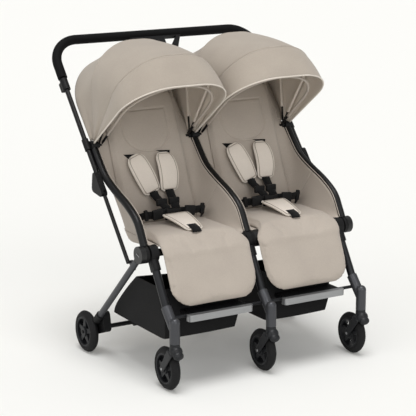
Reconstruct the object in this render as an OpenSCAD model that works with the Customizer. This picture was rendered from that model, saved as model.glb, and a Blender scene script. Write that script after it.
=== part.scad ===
// Side by side double stroller with a forward folding frame.
// Millimetres, Z up. The front faces -Y and the floor is Z = 0.
// Heights and depths are measured from the floor and from the front swivel axes.

/* [Side frames] */
// Spacing of the three front casters and legs
caster_pitch = 332; // [300:1:360]
// Distance of each outer side tube from the middle of the stroller
side_tube_x = 354; // [345:1:380]
// Depth of the fold hub behind the front swivel axes
hub_y = 136; // [120:1:150]
// Height of the fold hub
hub_z = 390; // [375:1:405]
// Radius of the hub barrel
hub_r = 26; // [22:1:30]
// Diameter of the front leg tube
front_leg_d = 24; // [18:1:26]
// Diameter of the rear leg tube
rear_leg_d = 20; // [16:1:22]
// Diameter of the S shaped side tube
side_tube_d = 20; // [16:1:22]
// Diameter of the handle poles
pole_d = 15; // [12:1:16]
// Diameter of the hub pivot pin
hub_pin_d = 12; // [8:1:14]

/* [Wheels] */
// Diameter of the front wheels
front_wheel_d = 130; // [110:1:140]
// Diameter of the rear wheels
rear_wheel_d = 132; // [112:1:140]
// Width of every tyre
wheel_w = 30; // [18:1:32]
// Trail of the caster axle behind its swivel axis
caster_trail = 44; // [30:1:50]
// Depth of the rear axles behind the front swivel axes
rear_wheel_y = 479; // [460:1:500]
// Distance of the outer rear wheels from the middle of the stroller
rear_wheel_x = 376; // [370:1:385]
// Diameter of the wheel axles
axle_d = 10; // [8:1:12]
// Diameter of the caster stem
stem_d = 31; // [26:1:34]
// Height of the seam between knuckle and fork
stem_seam_z = 151; // [148:1:160]
// Height of the top of the stem knuckle
knuckle_top_z = 228; // [215:1:240]
// Thickness of the fork arms
fork_arm_t = 5; // [4:0.5:6]

/* [Handle] */
// Depth of the handle bar behind the front swivel axes
handle_y = 712; // [690:1:730]
// Height of the handle bar
handle_z = 952; // [920:1:980]
// Diameter of the foam grip
grip_d = 30; // [24:1:32]
// Bend radius of the handle corners
handle_bend_r = 90; // [70:1:110]
// Length of foam below each handle corner
grip_drop = 48; // [30:1:70]
// Distance of the poles from the middle of the stroller
pole_x = 372; // [372:1:378]
// Depth of the latch box, where the poles end, behind the front swivel axes
latch_y = 362.0153; // [350:0.0001:370]
// Height of the latch box
latch_z = 540.7696; // [530:0.0001:550]
// Half width of the centre yoke under the bar
yoke_half_w = 100; // [80:1:110]
// Depth of the yoke below the bar, along the poles
yoke_drop = 150; // [130:1:170]

/* [Canopies] */
// Depth of the canopy hinge behind the front swivel axes
hinge_y = 457; // [445:1:465]
// Height of the canopy hinge
hinge_z = 660; // [650:1:670]
// Diameter of the canopy bow wire
bow_d = 3.5; // [2.5:0.5:3.5]
// Reach of the rear bow
rear_bow_r = 308; // [290:1:320]
// Reach of the middle bow
mid_bow_r = 350; // [300:1:360]
// Reach of the front bow
front_bow_r = 318; // [300:1:380]
// Angle of the rear bow above straight forward
rear_bow_angle = 97; // [92:1:100]
// Angle of the middle bow above straight forward
mid_bow_angle = 55; // [50:1:62]
// Angle of the front bow above straight forward
front_bow_angle = 39.5; // [30:0.5:42]
// Corner radius of the bows
bow_corner_r = 150; // [90:1:154]
// Corner radius of the front bow
front_corner_r = 120; // [90:1:150]
// Thickness of the canopy cloth
canopy_t = 2; // [1.5:0.5:3]

/* [Seats] */
// Half width of the seat pads
seat_half_w = 138; // [120:1:139]
// Depth of the seat front edge behind the front swivel axes
seat_front_y = 112; // [108:1:120]
// Depth of the recline axis behind the front swivel axes
recline_y = 345; // [335:1:355]
// Height of the recline axis
recline_z = 408; // [404:1:412]
// Lean of the backrest from upright
back_lean = 23; // [20:1:26]
// Length of the backrest pad
back_len = 436; // [400:1:450]
// Half width of the backrest pad
back_half_w = 130; // [110:1:136]
// Thickness of the seat and back pads at their crown
pad_t = 34; // [26:1:36]
// Half width of the calf pads
calf_half_w = 152; // [130:1:152]
// Length of the calf pads
calf_len = 196; // [170:1:205]
// Thickness of the calf pads at their crown
calf_t = 26; // [20:1:30]
// Lean of the calf pads from upright
calf_lean = 22; // [10:1:24]

/* [Footrests and baskets] */
// Length of the footrest treads
tread_len = 222; // [200:1:240]
// Front to back size of the treads
tread_w = 54; // [44:1:56]
// Height of the tread top
tread_z = 224; // [216:1:228]
// Diameter of the footrest cross tubes
foot_tube_d = 10; // [6:1:10]
// Height of the basket floor
basket_z = 136; // [134:1:170]
// Height of the basket rim
basket_rim_z = 290; // [288:1:294]
// Thickness of the basket cloth
basket_t = 3; // [2:0.5:4]

/* [Hidden] */
$fn = 48;

// Gap between faces that turn or slide on each other
run_gap = 0.3;
// Radial clearance of running pins
pin_gap = 0.05;
// Reach of the fork nose ahead of the swivel axis
fork_nose = 33;
// Depth of the middle of the whole stroller behind the front swivel axes
middle_y = (handle_y + grip_d / 2 - fork_nose) / 2;
frame_x = [-1, 0, 1];
// Seats wider than the frame leaves room for push the side planes apart, and the seat middles with them
seat_clear = 3;
seat_room = caster_pitch - front_leg_d / 2 - 2 - seat_clear - side_tube_x / 2;
seat_spread = 2 * max(0, seat_half_w - seat_room);
// The side tubes stand at least this far outside the front legs
leg_step = 22;
side_spread = seat_spread + max(0, caster_pitch + leg_step - side_tube_x);
side_plane_x = side_tube_x + side_spread;
pole_plane_x = pole_x + side_spread;
rear_wheel_plane_x = rear_wheel_x + side_spread;
seat_x = side_plane_x / 2;
outer_leg_x = caster_pitch + seat_spread;
// Mid planes of the rear legs: outside the side tubes, and beside the middle one
rear_leg_x = side_plane_x + side_tube_d / 2 + rear_leg_d / 2 - 8;
mid_rear_x = front_leg_d / 2 + 5 + rear_leg_d / 2;
hub = [hub_y, hub_z];
leg_foot = [caster_trail - 10, knuckle_top_z - 6];
rear_foot = [rear_wheel_y - 56, rear_wheel_d / 2 + 52];
handle_pt = [handle_y, handle_z];
hinge = [hinge_y, hinge_z];
// The poles run from the handle corner down past the canopy hinge to the latch box
latch_pt = [latch_y, latch_z];
pole_lean = atan2(handle_y - latch_y, handle_z - latch_z);
pole_dir = [sin(pole_lean), cos(pole_lean)];
latch_drop = norm(handle_pt - latch_pt);
cross_tube_d = 22;
// The pads are crowned below as well, so they settle a little lower than the tube's top
pad_settle = 1.8;
seat_pad_z = hub_z + cross_tube_d / 2 + run_gap - pad_settle;
seat_mid_z = seat_pad_z + pad_t / 2;
calf_axis = [seat_front_y - 7.9, hub_z + 28];

// Moves the model so that the origin is on the floor under its middle
module placed() {
  translate([0, -middle_y, 0]) children();
}

// Turns a drawing in depth and height into the side plane at x
module side_plane(x) {
  translate([x, 0, 0]) rotate([90, 0, 90]) children();
}

// A round bar from a to b in the drawing plane
module plane_bar(a, b, d) {
  run = b - a;
  translate([a.x, a.y, 0])
    rotate([0, 0, atan2(run.y, run.x)])
      rotate([0, 90, 0]) cylinder(h = norm(run), d = d);
}

// Where a corner of a bent bar starts to turn, measured back from the corner
function corner_setback(a, b, c, r) =
  let (u = (a - b) / norm(a - b), v = (c - b) / norm(c - b))
  r / tan(acos(u * v) / 2);

// A bent round bar through pts in the drawing plane, each corner turned at its radius
module bent_bar(pts, radii, d) {
  last = len(pts) - 1;
  setback = [for (i = [0:last]) i == 0 || i == last ? 0 : corner_setback(pts[i - 1], pts[i], pts[i + 1], radii[i])];
  for (i = [0:last - 1]) {
    dir = (pts[i + 1] - pts[i]) / norm(pts[i + 1] - pts[i]);
    plane_bar(pts[i] + dir * setback[i], pts[i + 1] - dir * setback[i + 1], d);
  }
  for (i = [1:last - 1]) {
    u = (pts[i - 1] - pts[i]) / norm(pts[i - 1] - pts[i]);
    v = (pts[i + 1] - pts[i]) / norm(pts[i + 1] - pts[i]);
    bisector = (u + v) / norm(u + v);
    centre = pts[i] + bisector * norm([radii[i], setback[i]]);
    from_c = pts[i] + u * setback[i] - centre;
    to_c = pts[i] + v * setback[i] - centre;
    turn = acos(from_c * to_c / (radii[i] * radii[i]));
    left = u.x * v.y - u.y * v.x > 0;
    start = left ? to_c : from_c;
    translate([centre.x, centre.y, 0])
      rotate([0, 0, atan2(start.y, start.x)])
        rotate_extrude(angle = turn, $fn = 96) translate([radii[i], 0]) circle(d = d);
  }
}

// Faces of a closed skin over two grids of nu by nv points, the top grid first
function skin_faces(nu, nv) = let (n = nu * nv) concat(
  [for (i = [0:nu - 2], j = [0:nv - 2]) let (a = i * nv + j) [a, a + 1, a + nv + 1]],
  [for (i = [0:nu - 2], j = [0:nv - 2]) let (a = i * nv + j) [a, a + nv + 1, a + nv]],
  [for (i = [0:nu - 2], j = [0:nv - 2]) let (a = n + i * nv + j) [a, a + nv + 1, a + 1]],
  [for (i = [0:nu - 2], j = [0:nv - 2]) let (a = n + i * nv + j) [a, a + nv, a + nv + 1]],
  [for (j = [0:nv - 2]) [j, n + j, n + j + 1]],
  [for (j = [0:nv - 2]) [j, n + j + 1, j + 1]],
  [for (j = [0:nv - 2]) let (a = (nu - 1) * nv + j) [a, a + 1, n + a + 1]],
  [for (j = [0:nv - 2]) let (a = (nu - 1) * nv + j) [a, n + a + 1, n + a]],
  [for (i = [0:nu - 2]) let (a = i * nv) [a, a + nv, n + a + nv]],
  [for (i = [0:nu - 2]) let (a = i * nv) [a, n + a + nv, n + a]],
  [for (i = [0:nu - 2]) let (a = i * nv + nv - 1) [a, n + a, n + a + nv]],
  [for (i = [0:nu - 2]) let (a = i * nv + nv - 1) [a, n + a + nv, a + nv]]);

// A crowned cushion from x = -half_w to half_w and y = 0 to length, with thin rounded edges.
// Its corners are rounded off by round0 at y = 0 and by round1 at the far end.
module cushion(half_w, length, thick, edge, round0, round1, nu = 13, nv = 13) {
  function trim(v) = let (y = v * length)
    y < round0 ? round0 - sqrt(max(0, round0 * round0 - pow(round0 - y, 2))) :
    y > length - round1 ? round1 - sqrt(max(0, round1 * round1 - pow(y - length + round1, 2))) : 0;
  function swell(u, v) = edge / 2 + (thick - edge) / 2
    * sqrt(max(0, 1 - pow(abs(u), 4))) * sqrt(max(0, 1 - pow(abs(2 * v - 1), 4)));
  function across(i) = sin((2 * i / (nu - 1) - 1) * 90);
  function along(j) = (1 + sin((2 * j / (nv - 1) - 1) * 90)) / 2;
  function grid(s) = [for (i = [0:nu - 1], j = [0:nv - 1])
    let (u = across(i), v = along(j)) [u * (half_w - trim(v)), v * length, s * swell(u, v)]];
  polyhedron(concat(grid(1), grid(-1)), skin_faces(nu, nv));
}

// Front legs: straight tubes from the hub housings to the stem knuckles
leg_run = leg_foot - hub;
leg_dir = leg_run / norm(leg_run);
leg_start = hub_r + 2;
leg_end = leg_foot - leg_dir * 12;
module front_legs() {
  color("dimgray") placed()
    for (x = frame_x * outer_leg_x)
      side_plane(x) plane_bar(hub + leg_dir * leg_start, leg_end, front_leg_d);
}

// Hub housings: barrels on the fold axis, each with a collar on its front leg.
// The middle one is forked so that the side tube eye turns inside it.
eye_t = side_tube_d * 0.55;
barrel_in = outer_leg_x - front_leg_d / 2 - 2;
barrel_out = side_plane_x - side_tube_d / 2 - run_gap;
cheek_in = eye_t / 2 + run_gap;
cheek_out = front_leg_d / 2 + 2;
collar_len = 26;
pin_out = rear_leg_x + rear_leg_d / 2 + 1;
mid_pin_out = mid_rear_x + rear_leg_d / 2 + 1 + run_gap;
module leg_collar() {
  difference() {
    plane_bar(hub, hub + leg_dir * (leg_start + collar_len), front_leg_d + 8);
    plane_bar(hub + leg_dir * leg_start, hub + leg_dir * (leg_start + collar_len + 1), front_leg_d);
  }
}
module hub_pin(from, to) {
  side_plane(from) translate(hub) cylinder(h = to - from, d = hub_pin_d);
}
module hub_housings() {
  color("black") placed() {
    for (s = [-1, 1]) {
      difference() {
        union() {
          side_plane(s > 0 ? barrel_in : -barrel_out)
            translate(hub) cylinder(h = barrel_out - barrel_in, r = hub_r);
          intersection() {
            side_plane(s * outer_leg_x) leg_collar();
            translate([s > 0 ? barrel_in : -barrel_out, 0, 0]) cube([barrel_out - barrel_in, 300, 500]);
          }
        }
        side_plane(s * outer_leg_x)
          plane_bar(hub + leg_dir * leg_start, hub + leg_dir * (leg_start + collar_len + 40), front_leg_d);
      }
      hub_pin(s > 0 ? barrel_out : -pin_out, s > 0 ? pin_out : -barrel_out);
    }
    difference() {
      union() {
        side_plane(-cheek_out) translate(hub) cylinder(h = 2 * cheek_out, r = hub_r);
        intersection() {
          side_plane(0) leg_collar();
          translate([-cheek_out, 0, 0]) cube([2 * cheek_out, 300, 500]);
        }
      }
      side_plane(-cheek_in) translate(hub) cylinder(h = 2 * cheek_in, r = hub_r + 3);
      side_plane(0)
        plane_bar(hub + leg_dir * leg_start, hub + leg_dir * (leg_start + collar_len + 40), front_leg_d);
    }
    hub_pin(-cheek_in, cheek_in);
    hub_pin(cheek_out, mid_pin_out);
  }
}

// Cross tubes of the footrests, let into the knuckles at both ends
tread_t = 12;
foot_tube_pt = [leg_foot.x, tread_z - tread_t / 2];
foot_tube_in = front_leg_d / 2 - 2;
module foot_tube(s) {
  side_plane(s > 0 ? foot_tube_in : foot_tube_in - outer_leg_x) translate(foot_tube_pt)
    cylinder(h = outer_leg_x - 2 * foot_tube_in, d = foot_tube_d);
}

// Stem knuckles: castings that take the leg at the back and the caster stem below
stem_bore_d = 14;
stem_bore_h = 40;
module stem_knuckles() {
  knuckle_r = stem_d / 2;
  color("dimgray") placed()
    for (x = frame_x * outer_leg_x)
      translate([x, 0, 0]) difference() {
        union() {
          translate([0, 0, stem_seam_z + run_gap]) cylinder(h = knuckle_top_z - stem_seam_z - 14, r = knuckle_r);
          translate([0, 0, knuckle_top_z - 14 + run_gap]) rotate_extrude() intersection() {
            translate([knuckle_r - 14, 0]) circle(r = 14);
            square([knuckle_r, 14]);
          }
          translate([0, 0, knuckle_top_z - 14 + run_gap]) cylinder(h = 14, r = knuckle_r - 14);
          side_plane(0) plane_bar([4, leg_foot.y - 26], leg_foot - leg_dir * 30, front_leg_d + 7);
        }
        side_plane(0) plane_bar(leg_end, leg_foot - leg_dir * 60, front_leg_d);
        translate([0, 0, stem_seam_z]) cylinder(h = stem_bore_h, d = stem_bore_d);
        translate([-x, 0, 0]) for (s = [-1, 1]) foot_tube(s);
      }
}

// Cross tube on the fold axis that joins the three hub housings under the seats
module seat_cross_tube() {
  color("black") placed()
    for (s = [-1, 1])
      side_plane(s > 0 ? mid_pin_out : -barrel_in) translate(hub)
        cylinder(h = barrel_in - (s > 0 ? mid_pin_out : cheek_out), d = cross_tube_d);
}

// Seat pads lie on the cross tube and run back to the recline axis
seat_len = recline_y - pad_t / 2 - 2 - seat_front_y;
module seat_pad(s) {
  color("tan") placed()
    translate([s * seat_x, seat_front_y, seat_mid_z])
      cushion(seat_half_w, seat_len, pad_t, 12, 30, 14);
}
module left_seat_pad() { seat_pad(-1); }
module right_seat_pad() { seat_pad(1); }

// Calf pads hang from the seat front edge and swing up on it
calf_hem_d = 15;
module calf_pad(s) {
  color("tan") placed()
    translate([s * outer_leg_x / 2, calf_axis.x, calf_axis.y])
      rotate([-90 - calf_lean, 0, 0]) {
        translate([0, -4, 0]) cushion(calf_half_w, calf_len, calf_t, 10, 24, 78);
        translate([30 - calf_half_w, 0, 0]) rotate([0, 90, 0]) cylinder(h = 2 * calf_half_w - 60, d = calf_hem_d);
      }
}
module left_calf_pad() { calf_pad(-1); }
module right_calf_pad() { calf_pad(1); }

// Footrests: a grooved tread between two legs, with a silver front strip and cross tubes
tread_y = 26;
tread_x = outer_leg_x / 2;
strip_w = 18;
strip_h = 20;
groove_n = 5;
module footrest(s) {
  color("black") placed()
    translate([s * tread_x - tread_len / 2, tread_y, tread_z - tread_t]) difference() {
      translate([10, 0, 0]) cube([tread_len - 20, tread_w, tread_t]);
      for (i = [1:groove_n])
        translate([18, i * tread_w / (groove_n + 1) - 2, tread_t - 2]) cube([tread_len - 36, 4, 3]);
      translate([0, foot_tube_pt.x - tread_y, tread_t / 2]) rotate([0, 90, 0])
        cylinder(h = tread_len, d = foot_tube_d);
    }
}
module left_footrest() { footrest(-1); }
module right_footrest() { footrest(1); }
module footrest_strip(s) {
  color("silver") placed()
    translate([s * tread_x, tread_y, tread_z - strip_h]) rotate([0, 0, 180])
      linear_extrude(height = strip_h) difference() {
        translate([-tread_len / 2, 0]) square([tread_len, strip_w]);
        for (e = [-1, 1]) translate([e * tread_len / 2, strip_w]) difference() {
          square(24, center = true);
          translate([-e * 12, -12]) circle(r = 12);
        }
      }
}
module left_footrest_strip() { footrest_strip(-1); }
module right_footrest_strip() { footrest_strip(1); }
module footrest_tubes() {
  color("dimgray") placed()
    for (s = [-1, 1]) foot_tube(s);
}

// Baskets: cloth troughs that hang behind the front legs, open at the top
basket_front_y = 81;
basket_back_y = 330;
basket_rim_back_y = 215;
basket_rim_front_y = 86;
basket_end = 250;
basket_x0 = front_leg_d / 2 + run_gap;
tab_t = 1.2;
module basket_outline(inset) {
  polygon([[basket_front_y + inset, basket_z + inset], [basket_back_y - inset, basket_z + inset],
    [basket_rim_back_y - inset, basket_rim_z + inset], [basket_rim_front_y + inset, basket_rim_z + inset]]);
}
// The trough starts at x0 beside a front leg at leg_x, and a tab ties its front corner to that leg
module basket(leg_x, x0) {
  length = basket_end - x0;
  color("black") placed() translate([leg_x, 0, 0]) {
    difference() {
      side_plane(x0) linear_extrude(height = length) basket_outline(0);
      side_plane(x0 + basket_t) linear_extrude(height = length - 2 * basket_t) basket_outline(basket_t);
    }
    side_plane(basket_x0) linear_extrude(height = tab_t) polygon([[basket_rim_front_y + basket_t, basket_rim_z],
      [70, basket_rim_z], [64, basket_rim_z - 14], [basket_rim_front_y + basket_t, basket_rim_z - 28]]);
    translate([basket_x0, basket_rim_front_y, basket_rim_z - 28])
      cube([x0 - basket_x0 + basket_t, basket_t, 28]);
  }
}
// The right trough starts further in, clear of the middle rear leg when it folds
module left_basket() { basket(-outer_leg_x, basket_x0); }
module right_basket() { basket(0, mid_pin_out + 1); }

// Casters: a shrouded fork that swivels in the knuckle, and a wheel on a bolt through it
axle_z = front_wheel_d / 2;
arm_x = wheel_w / 2 + 1;
module fork(i) {
  color("black") placed() translate([i * outer_leg_x, 0, 0]) {
    translate([0, 0, stem_seam_z - 12]) cylinder(h = 12, d = stem_d);
    translate([0, 0, stem_seam_z]) cylinder(h = stem_bore_h - 1, d = stem_bore_d - 2 * pin_gap);
    difference() {
      side_plane(-arm_x - fork_arm_t) linear_extrude(height = 2 * (arm_x + fork_arm_t)) fork_outline();
      side_plane(-arm_x) translate([caster_trail, axle_z]) cylinder(h = 2 * arm_x, r = axle_z + 4);
    }
    side_plane(-arm_x) translate([caster_trail, axle_z]) cylinder(h = 2 * arm_x, d = axle_d - 2 * pin_gap);
  }
}
module fork_outline() {
  hull() {
    translate([caster_trail, axle_z]) circle(d = 24);
    translate([8, stem_seam_z - 26]) circle(r = 14);
  }
  translate([-fork_nose + 16, stem_seam_z - 26]) circle(r = 16);
  translate([-fork_nose + 16, stem_seam_z - 42]) square([48, 32]);
}
module left_fork() { fork(-1); }
module middle_fork() { fork(0); }
module right_fork() { fork(1); }

// Wheels: a rounded tyre, a rim and a hub joined by five spokes
module wheel(d, w) {
  rim_r = d / 2 - 17;
  side_plane(0) {
    rotate_extrude($fn = 96) difference() {
      union() {
        translate([d / 2 - 9, w / 2 - 9]) circle(r = 9);
        translate([d / 2 - 9, -w / 2 + 9]) circle(r = 9);
        translate([d / 2 - 9, -w / 2 + 9]) square([9, w - 18]);
        translate([rim_r - 5, -w / 2]) square([d / 2 - 9 - rim_r + 5, w]);
      }
      translate([-1, -w]) square([1, 2 * w]);
    }
    difference() {
      union() {
        translate([0, 0, -w / 2 + 1]) cylinder(h = w - 2, d = 30);
        for (k = [0:4])
          rotate([0, 0, 90 + 72 * k]) translate([0, -7, -w / 2 + 4]) cube([rim_r - 1, 14, w - 8]);
      }
      translate([0, 0, -w]) cylinder(h = 2 * w, d = axle_d);
    }
  }
}
module front_wheel(i) {
  color("black") placed() translate([i * outer_leg_x, caster_trail, axle_z]) wheel(front_wheel_d, wheel_w);
}
module left_front_wheel() { front_wheel(-1); }
module middle_front_wheel() { front_wheel(0); }
module right_front_wheel() { front_wheel(1); }

// Rear legs: an eye on the hub pin, a lug beside the foot of the link rod, and a tube down to the wheel bracket
link_d = pole_d - 3;
link_reach = 76;
lug_t = 8;
link_in = pole_plane_x - link_d / 2 - run_gap;
rear_planes = [-rear_leg_x, mid_rear_x, rear_leg_x];
rear_run = rear_foot - hub;
rear_dir = rear_run / norm(rear_run);
module rear_leg_eye(x) {
  inner = x < 0 ? -side_plane_x - eye_t / 2 - run_gap : x > 100 ? side_plane_x + eye_t / 2 + run_gap
    : cheek_out + run_gap;
  outer = x < 0 ? x - rear_leg_d / 2 - 1 : x + rear_leg_d / 2 + 1;
  low = min(inner, outer);
  difference() {
    union() {
      side_plane(low) translate(hub) cylinder(h = abs(outer - inner), r = hub_r);
      side_plane(x) plane_bar(hub, rear_foot, rear_leg_d);
      if (abs(x) > 100) side_plane(x < 0 ? -link_in : link_in - lug_t) linear_extrude(height = lug_t) hull() {
        translate(link_foot) circle(r = 8, $fn = 32);
        translate(hub + rear_dir * link_reach) circle(r = 8, $fn = 32);
      }
    }
    side_plane(-500) translate(hub) cylinder(h = 1000, d = hub_pin_d + 2 * pin_gap);
    side_plane(x < 0 ? inner + 0.05 : inner - 20.05) translate(hub) cylinder(h = 20, r = hub_r + 1);
  }
}
module rear_legs() {
  color("dimgray") placed()
    for (x = rear_planes) rear_leg_eye(x);
}

// Rear brackets: castings inboard of each wheel that hold its axle and the axle tube
bracket_t = 24;
rear_axle = [rear_wheel_y, rear_wheel_d / 2];
axle_tube_pt = [rear_foot.x - 18, rear_foot.y - 22];
axle_tube_d = 14;
wheel_planes = [-rear_wheel_plane_x, mid_rear_x + rear_wheel_plane_x - rear_leg_x, rear_wheel_plane_x];
bracket_side = [1, -1, -1];
module rear_bracket(k) {
  x = wheel_planes[k];
  dir = bracket_side[k];
  near = x + dir * (wheel_w / 2 + 1);
  start = dir > 0 ? near : near - bracket_t;
  difference() {
    union() {
      side_plane(start) linear_extrude(height = bracket_t) hull() {
        translate(rear_axle) circle(d = 30, $fn = 32);
        translate(axle_tube_pt) circle(d = 34, $fn = 32);
        translate(rear_foot - rear_dir * 20) circle(d = 26, $fn = 32);
      }
      side_plane(rear_planes[k]) plane_bar(rear_foot - rear_dir * 30, rear_foot + rear_dir * 4, rear_leg_d + 7);
    }
    side_plane(rear_planes[k]) plane_bar(rear_foot - rear_dir * 80, rear_foot, rear_leg_d);
    side_plane(-500) translate(axle_tube_pt) cylinder(h = 1000, d = axle_tube_d);
    side_plane(x - wheel_w / 2 - 0.7) translate(rear_axle) cylinder(h = wheel_w + 1.4, r = rear_wheel_d / 2 + 2);
  }
  side_plane(dir > 0 ? x - wheel_w / 2 - 2 : near) translate(rear_axle)
    cylinder(h = wheel_w + 3, d = axle_d - 2 * pin_gap);
}
module rear_brackets() {
  color("black") placed()
    for (k = [0:2]) rear_bracket(k);
}

// Rear axle tube through the three brackets
axle_tube_half = rear_wheel_plane_x - wheel_w / 2 - 1;
module rear_axle_tube() {
  color("black") placed()
    side_plane(-axle_tube_half) translate(axle_tube_pt) cylinder(h = 2 * axle_tube_half, d = axle_tube_d);
}

// Brake pedal: a rocking bar clipped round the axle tube beside the left bracket
pedal_x = -250;
module brake_pedal() {
  color("black") placed() difference() {
    union() {
      side_plane(pedal_x) translate(axle_tube_pt) cylinder(h = 90, d = axle_tube_d + 12);
      translate([pedal_x + 5, axle_tube_pt.x, axle_tube_pt.y + 2]) cube([80, 44, 9]);
    }
    side_plane(pedal_x - 1) translate(axle_tube_pt) cylinder(h = 92, d = axle_tube_d + 2 * pin_gap);
  }
}

module rear_wheel(k) {
  color("black") placed() translate([wheel_planes[k], rear_axle.x, rear_axle.y]) wheel(rear_wheel_d, wheel_w);
}
module left_rear_wheel() { rear_wheel(0); }
module middle_rear_wheel() { rear_wheel(1); }
module right_rear_wheel() { rear_wheel(2); }

// A point at t from 0 to 1 along a smooth curve through pts
function curve_at(pts, t) =
  let (last = len(pts) - 1, k = min(floor(t * last), last - 1), f = t * last - k,
    a = pts[max(k - 1, 0)], b = pts[k], c = pts[k + 1], d = pts[min(k + 2, last)])
  (2 * b + (c - a) * f + (2 * a - 5 * b + 4 * c - d) * f * f + (3 * b - a - 3 * c + d) * f * f * f) / 2;

// An oval bar along a smooth curve in the drawing plane
module swept_bar(pts, wide, deep, rings, sides) {
  function tangent(t) = let (v = curve_at(pts, min(t + 0.01, 1)) - curve_at(pts, max(t - 0.01, 0))) v / norm(v);
  ring_pts = [for (r = [0:rings], k = [0:sides - 1])
    let (t = r / rings, p = curve_at(pts, t), v = tangent(t), a = 360 * k / sides)
    [p.x - v.y * cos(a) * deep / 2, p.y + v.x * cos(a) * deep / 2, sin(a) * wide / 2]];
  polyhedron(ring_pts, concat(
    [[for (k = [0:sides - 1]) k]],
    [for (r = [0:rings - 1], k = [0:sides - 1]) let (a = r * sides + k, b = r * sides + (k + 1) % sides)
      [a, a + sides, b]],
    [for (r = [0:rings - 1], k = [0:sides - 1]) let (a = r * sides + k, b = r * sides + (k + 1) % sides)
      [b, a + sides, b + sides]],
    [[for (k = [0:sides - 1]) rings * sides + sides - 1 - k]]));
}

// Side tubes: an eye on the hub pin, a neck, and the S bend up to the canopy hinge
side_pts = [hub + [3, 22], hub + [16, 46], hub + [46, 91], hub + [102, 125], hub + [180, 156],
  hub + [241, 186], hub + [284, 227], hinge - [5, 7]];
side_tube_deep = side_tube_d + 3;
module side_curve() {
  swept_bar(side_pts, side_tube_d, side_tube_deep, 28, 14);
}
module side_tube(i) {
  color("black") placed() difference() {
    union() {
      side_plane(i * side_plane_x - eye_t / 2) translate(hub) cylinder(h = eye_t, r = hub_r);
      side_plane(i * side_plane_x) difference() {
        side_curve();
        translate([hub_y, hub_z, -side_tube_d]) cylinder(h = 2 * side_tube_d, r = hub_r + 5);
      }
      side_plane(i * side_plane_x - eye_t / 2) translate([hub_y + 2, hub_z + 6]) cube([16, 34, eye_t]);
    }
    side_plane(i * side_plane_x - 40) translate(hub) cylinder(h = 80, d = hub_pin_d + 2 * pin_gap);
  }
}
module left_side_tube() { side_tube(-1); }
module middle_side_tube() { side_tube(0); }
module right_side_tube() { side_tube(1); }

// Puts a drawing of the handle plane in place: its y runs up along the poles from the bar
module handle_plane() {
  translate([0, handle_y, handle_z]) rotate([90 - pole_lean, 0, 0]) children();
}
// The handle tube: two poles and the bar as one bent tube
grip_len = handle_bend_r + grip_drop;
module handle_tube() {
  color("black") placed() handle_plane()
    for (s = [-1, 1])
      plane_bar([s * pole_plane_x, -latch_drop + 2], [s * pole_plane_x, -grip_len], pole_d);
}
module handle_grip() {
  color("black") placed() handle_plane()
    bent_bar([[-pole_plane_x, -grip_len], [-pole_plane_x, 0], [pole_plane_x, 0], [pole_plane_x, -grip_len]],
      [0, handle_bend_r, handle_bend_r, 0], grip_d);
}

// Centre yoke: a block under the bar and two arms that meet on the middle pole
yoke_t = 16;
block_half_w = 30;
block_drop = 34;
button_half_w = 13;
button_drop = 20;
module yoke_outline() {
  difference() {
    polygon([[-yoke_half_w, 0], [yoke_half_w, 0], [20, -yoke_drop], [-20, -yoke_drop]]);
    for (s = [-1, 1])
      polygon([[s * (yoke_half_w - 24), -grip_d / 2 - 2], [s * block_half_w, -grip_d / 2 - 2],
        [s * block_half_w, -block_drop - 16], [s * 40, -block_drop - 26]]);
    polygon([[-22, -block_drop - 26], [22, -block_drop - 26], [0, -yoke_drop + 34]]);
  }
}
module handle_yoke() {
  color("black") placed() handle_plane() difference() {
    translate([0, 0, -yoke_t / 2]) linear_extrude(height = yoke_t) yoke_outline();
    rotate([0, 90, 0]) cylinder(h = 3 * yoke_half_w, d = grip_d, center = true);
    translate([-button_half_w - run_gap, -block_drop - 12, -yoke_t])
      cube([2 * (button_half_w + run_gap), button_drop + 2 * run_gap, yoke_t + 3]);
    translate([0, -yoke_drop - 1, 0]) rotate([-90, 0, 0]) cylinder(h = 26, d = pole_d);
  }
}
// Release button in the underside of the yoke block, worked with the fingers of one hand
module fold_button() {
  color("black") placed() handle_plane()
    translate([-button_half_w, -block_drop - 12 + run_gap, -yoke_t / 2 - 4])
      cube([2 * button_half_w, button_drop, yoke_t / 2 + 2]);
}
module middle_pole() {
  color("black") placed() handle_plane()
    plane_bar([0, -norm(handle_pt - hinge) + 14], [0, -yoke_drop + 25], pole_d);
}

// Accessory clamps: split collars on the poles under the grip, each with a lug for a cup holder
clamp_top = grip_len + 5;
clamp_h = 38;
module accessory_clamps() {
  color("black") placed() handle_plane()
    for (s = [-1, 1]) translate([s * pole_plane_x, -clamp_top - clamp_h, 0]) difference() {
      union() {
        rotate([-90, 0, 0]) cylinder(h = clamp_h, d = pole_d + 10);
        translate([-9, 4, -22]) cube([18, clamp_h - 8, 22]);
      }
      translate([0, -1, 0]) rotate([-90, 0, 0]) cylinder(h = clamp_h + 2, d = pole_d);
    }
}

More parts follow.
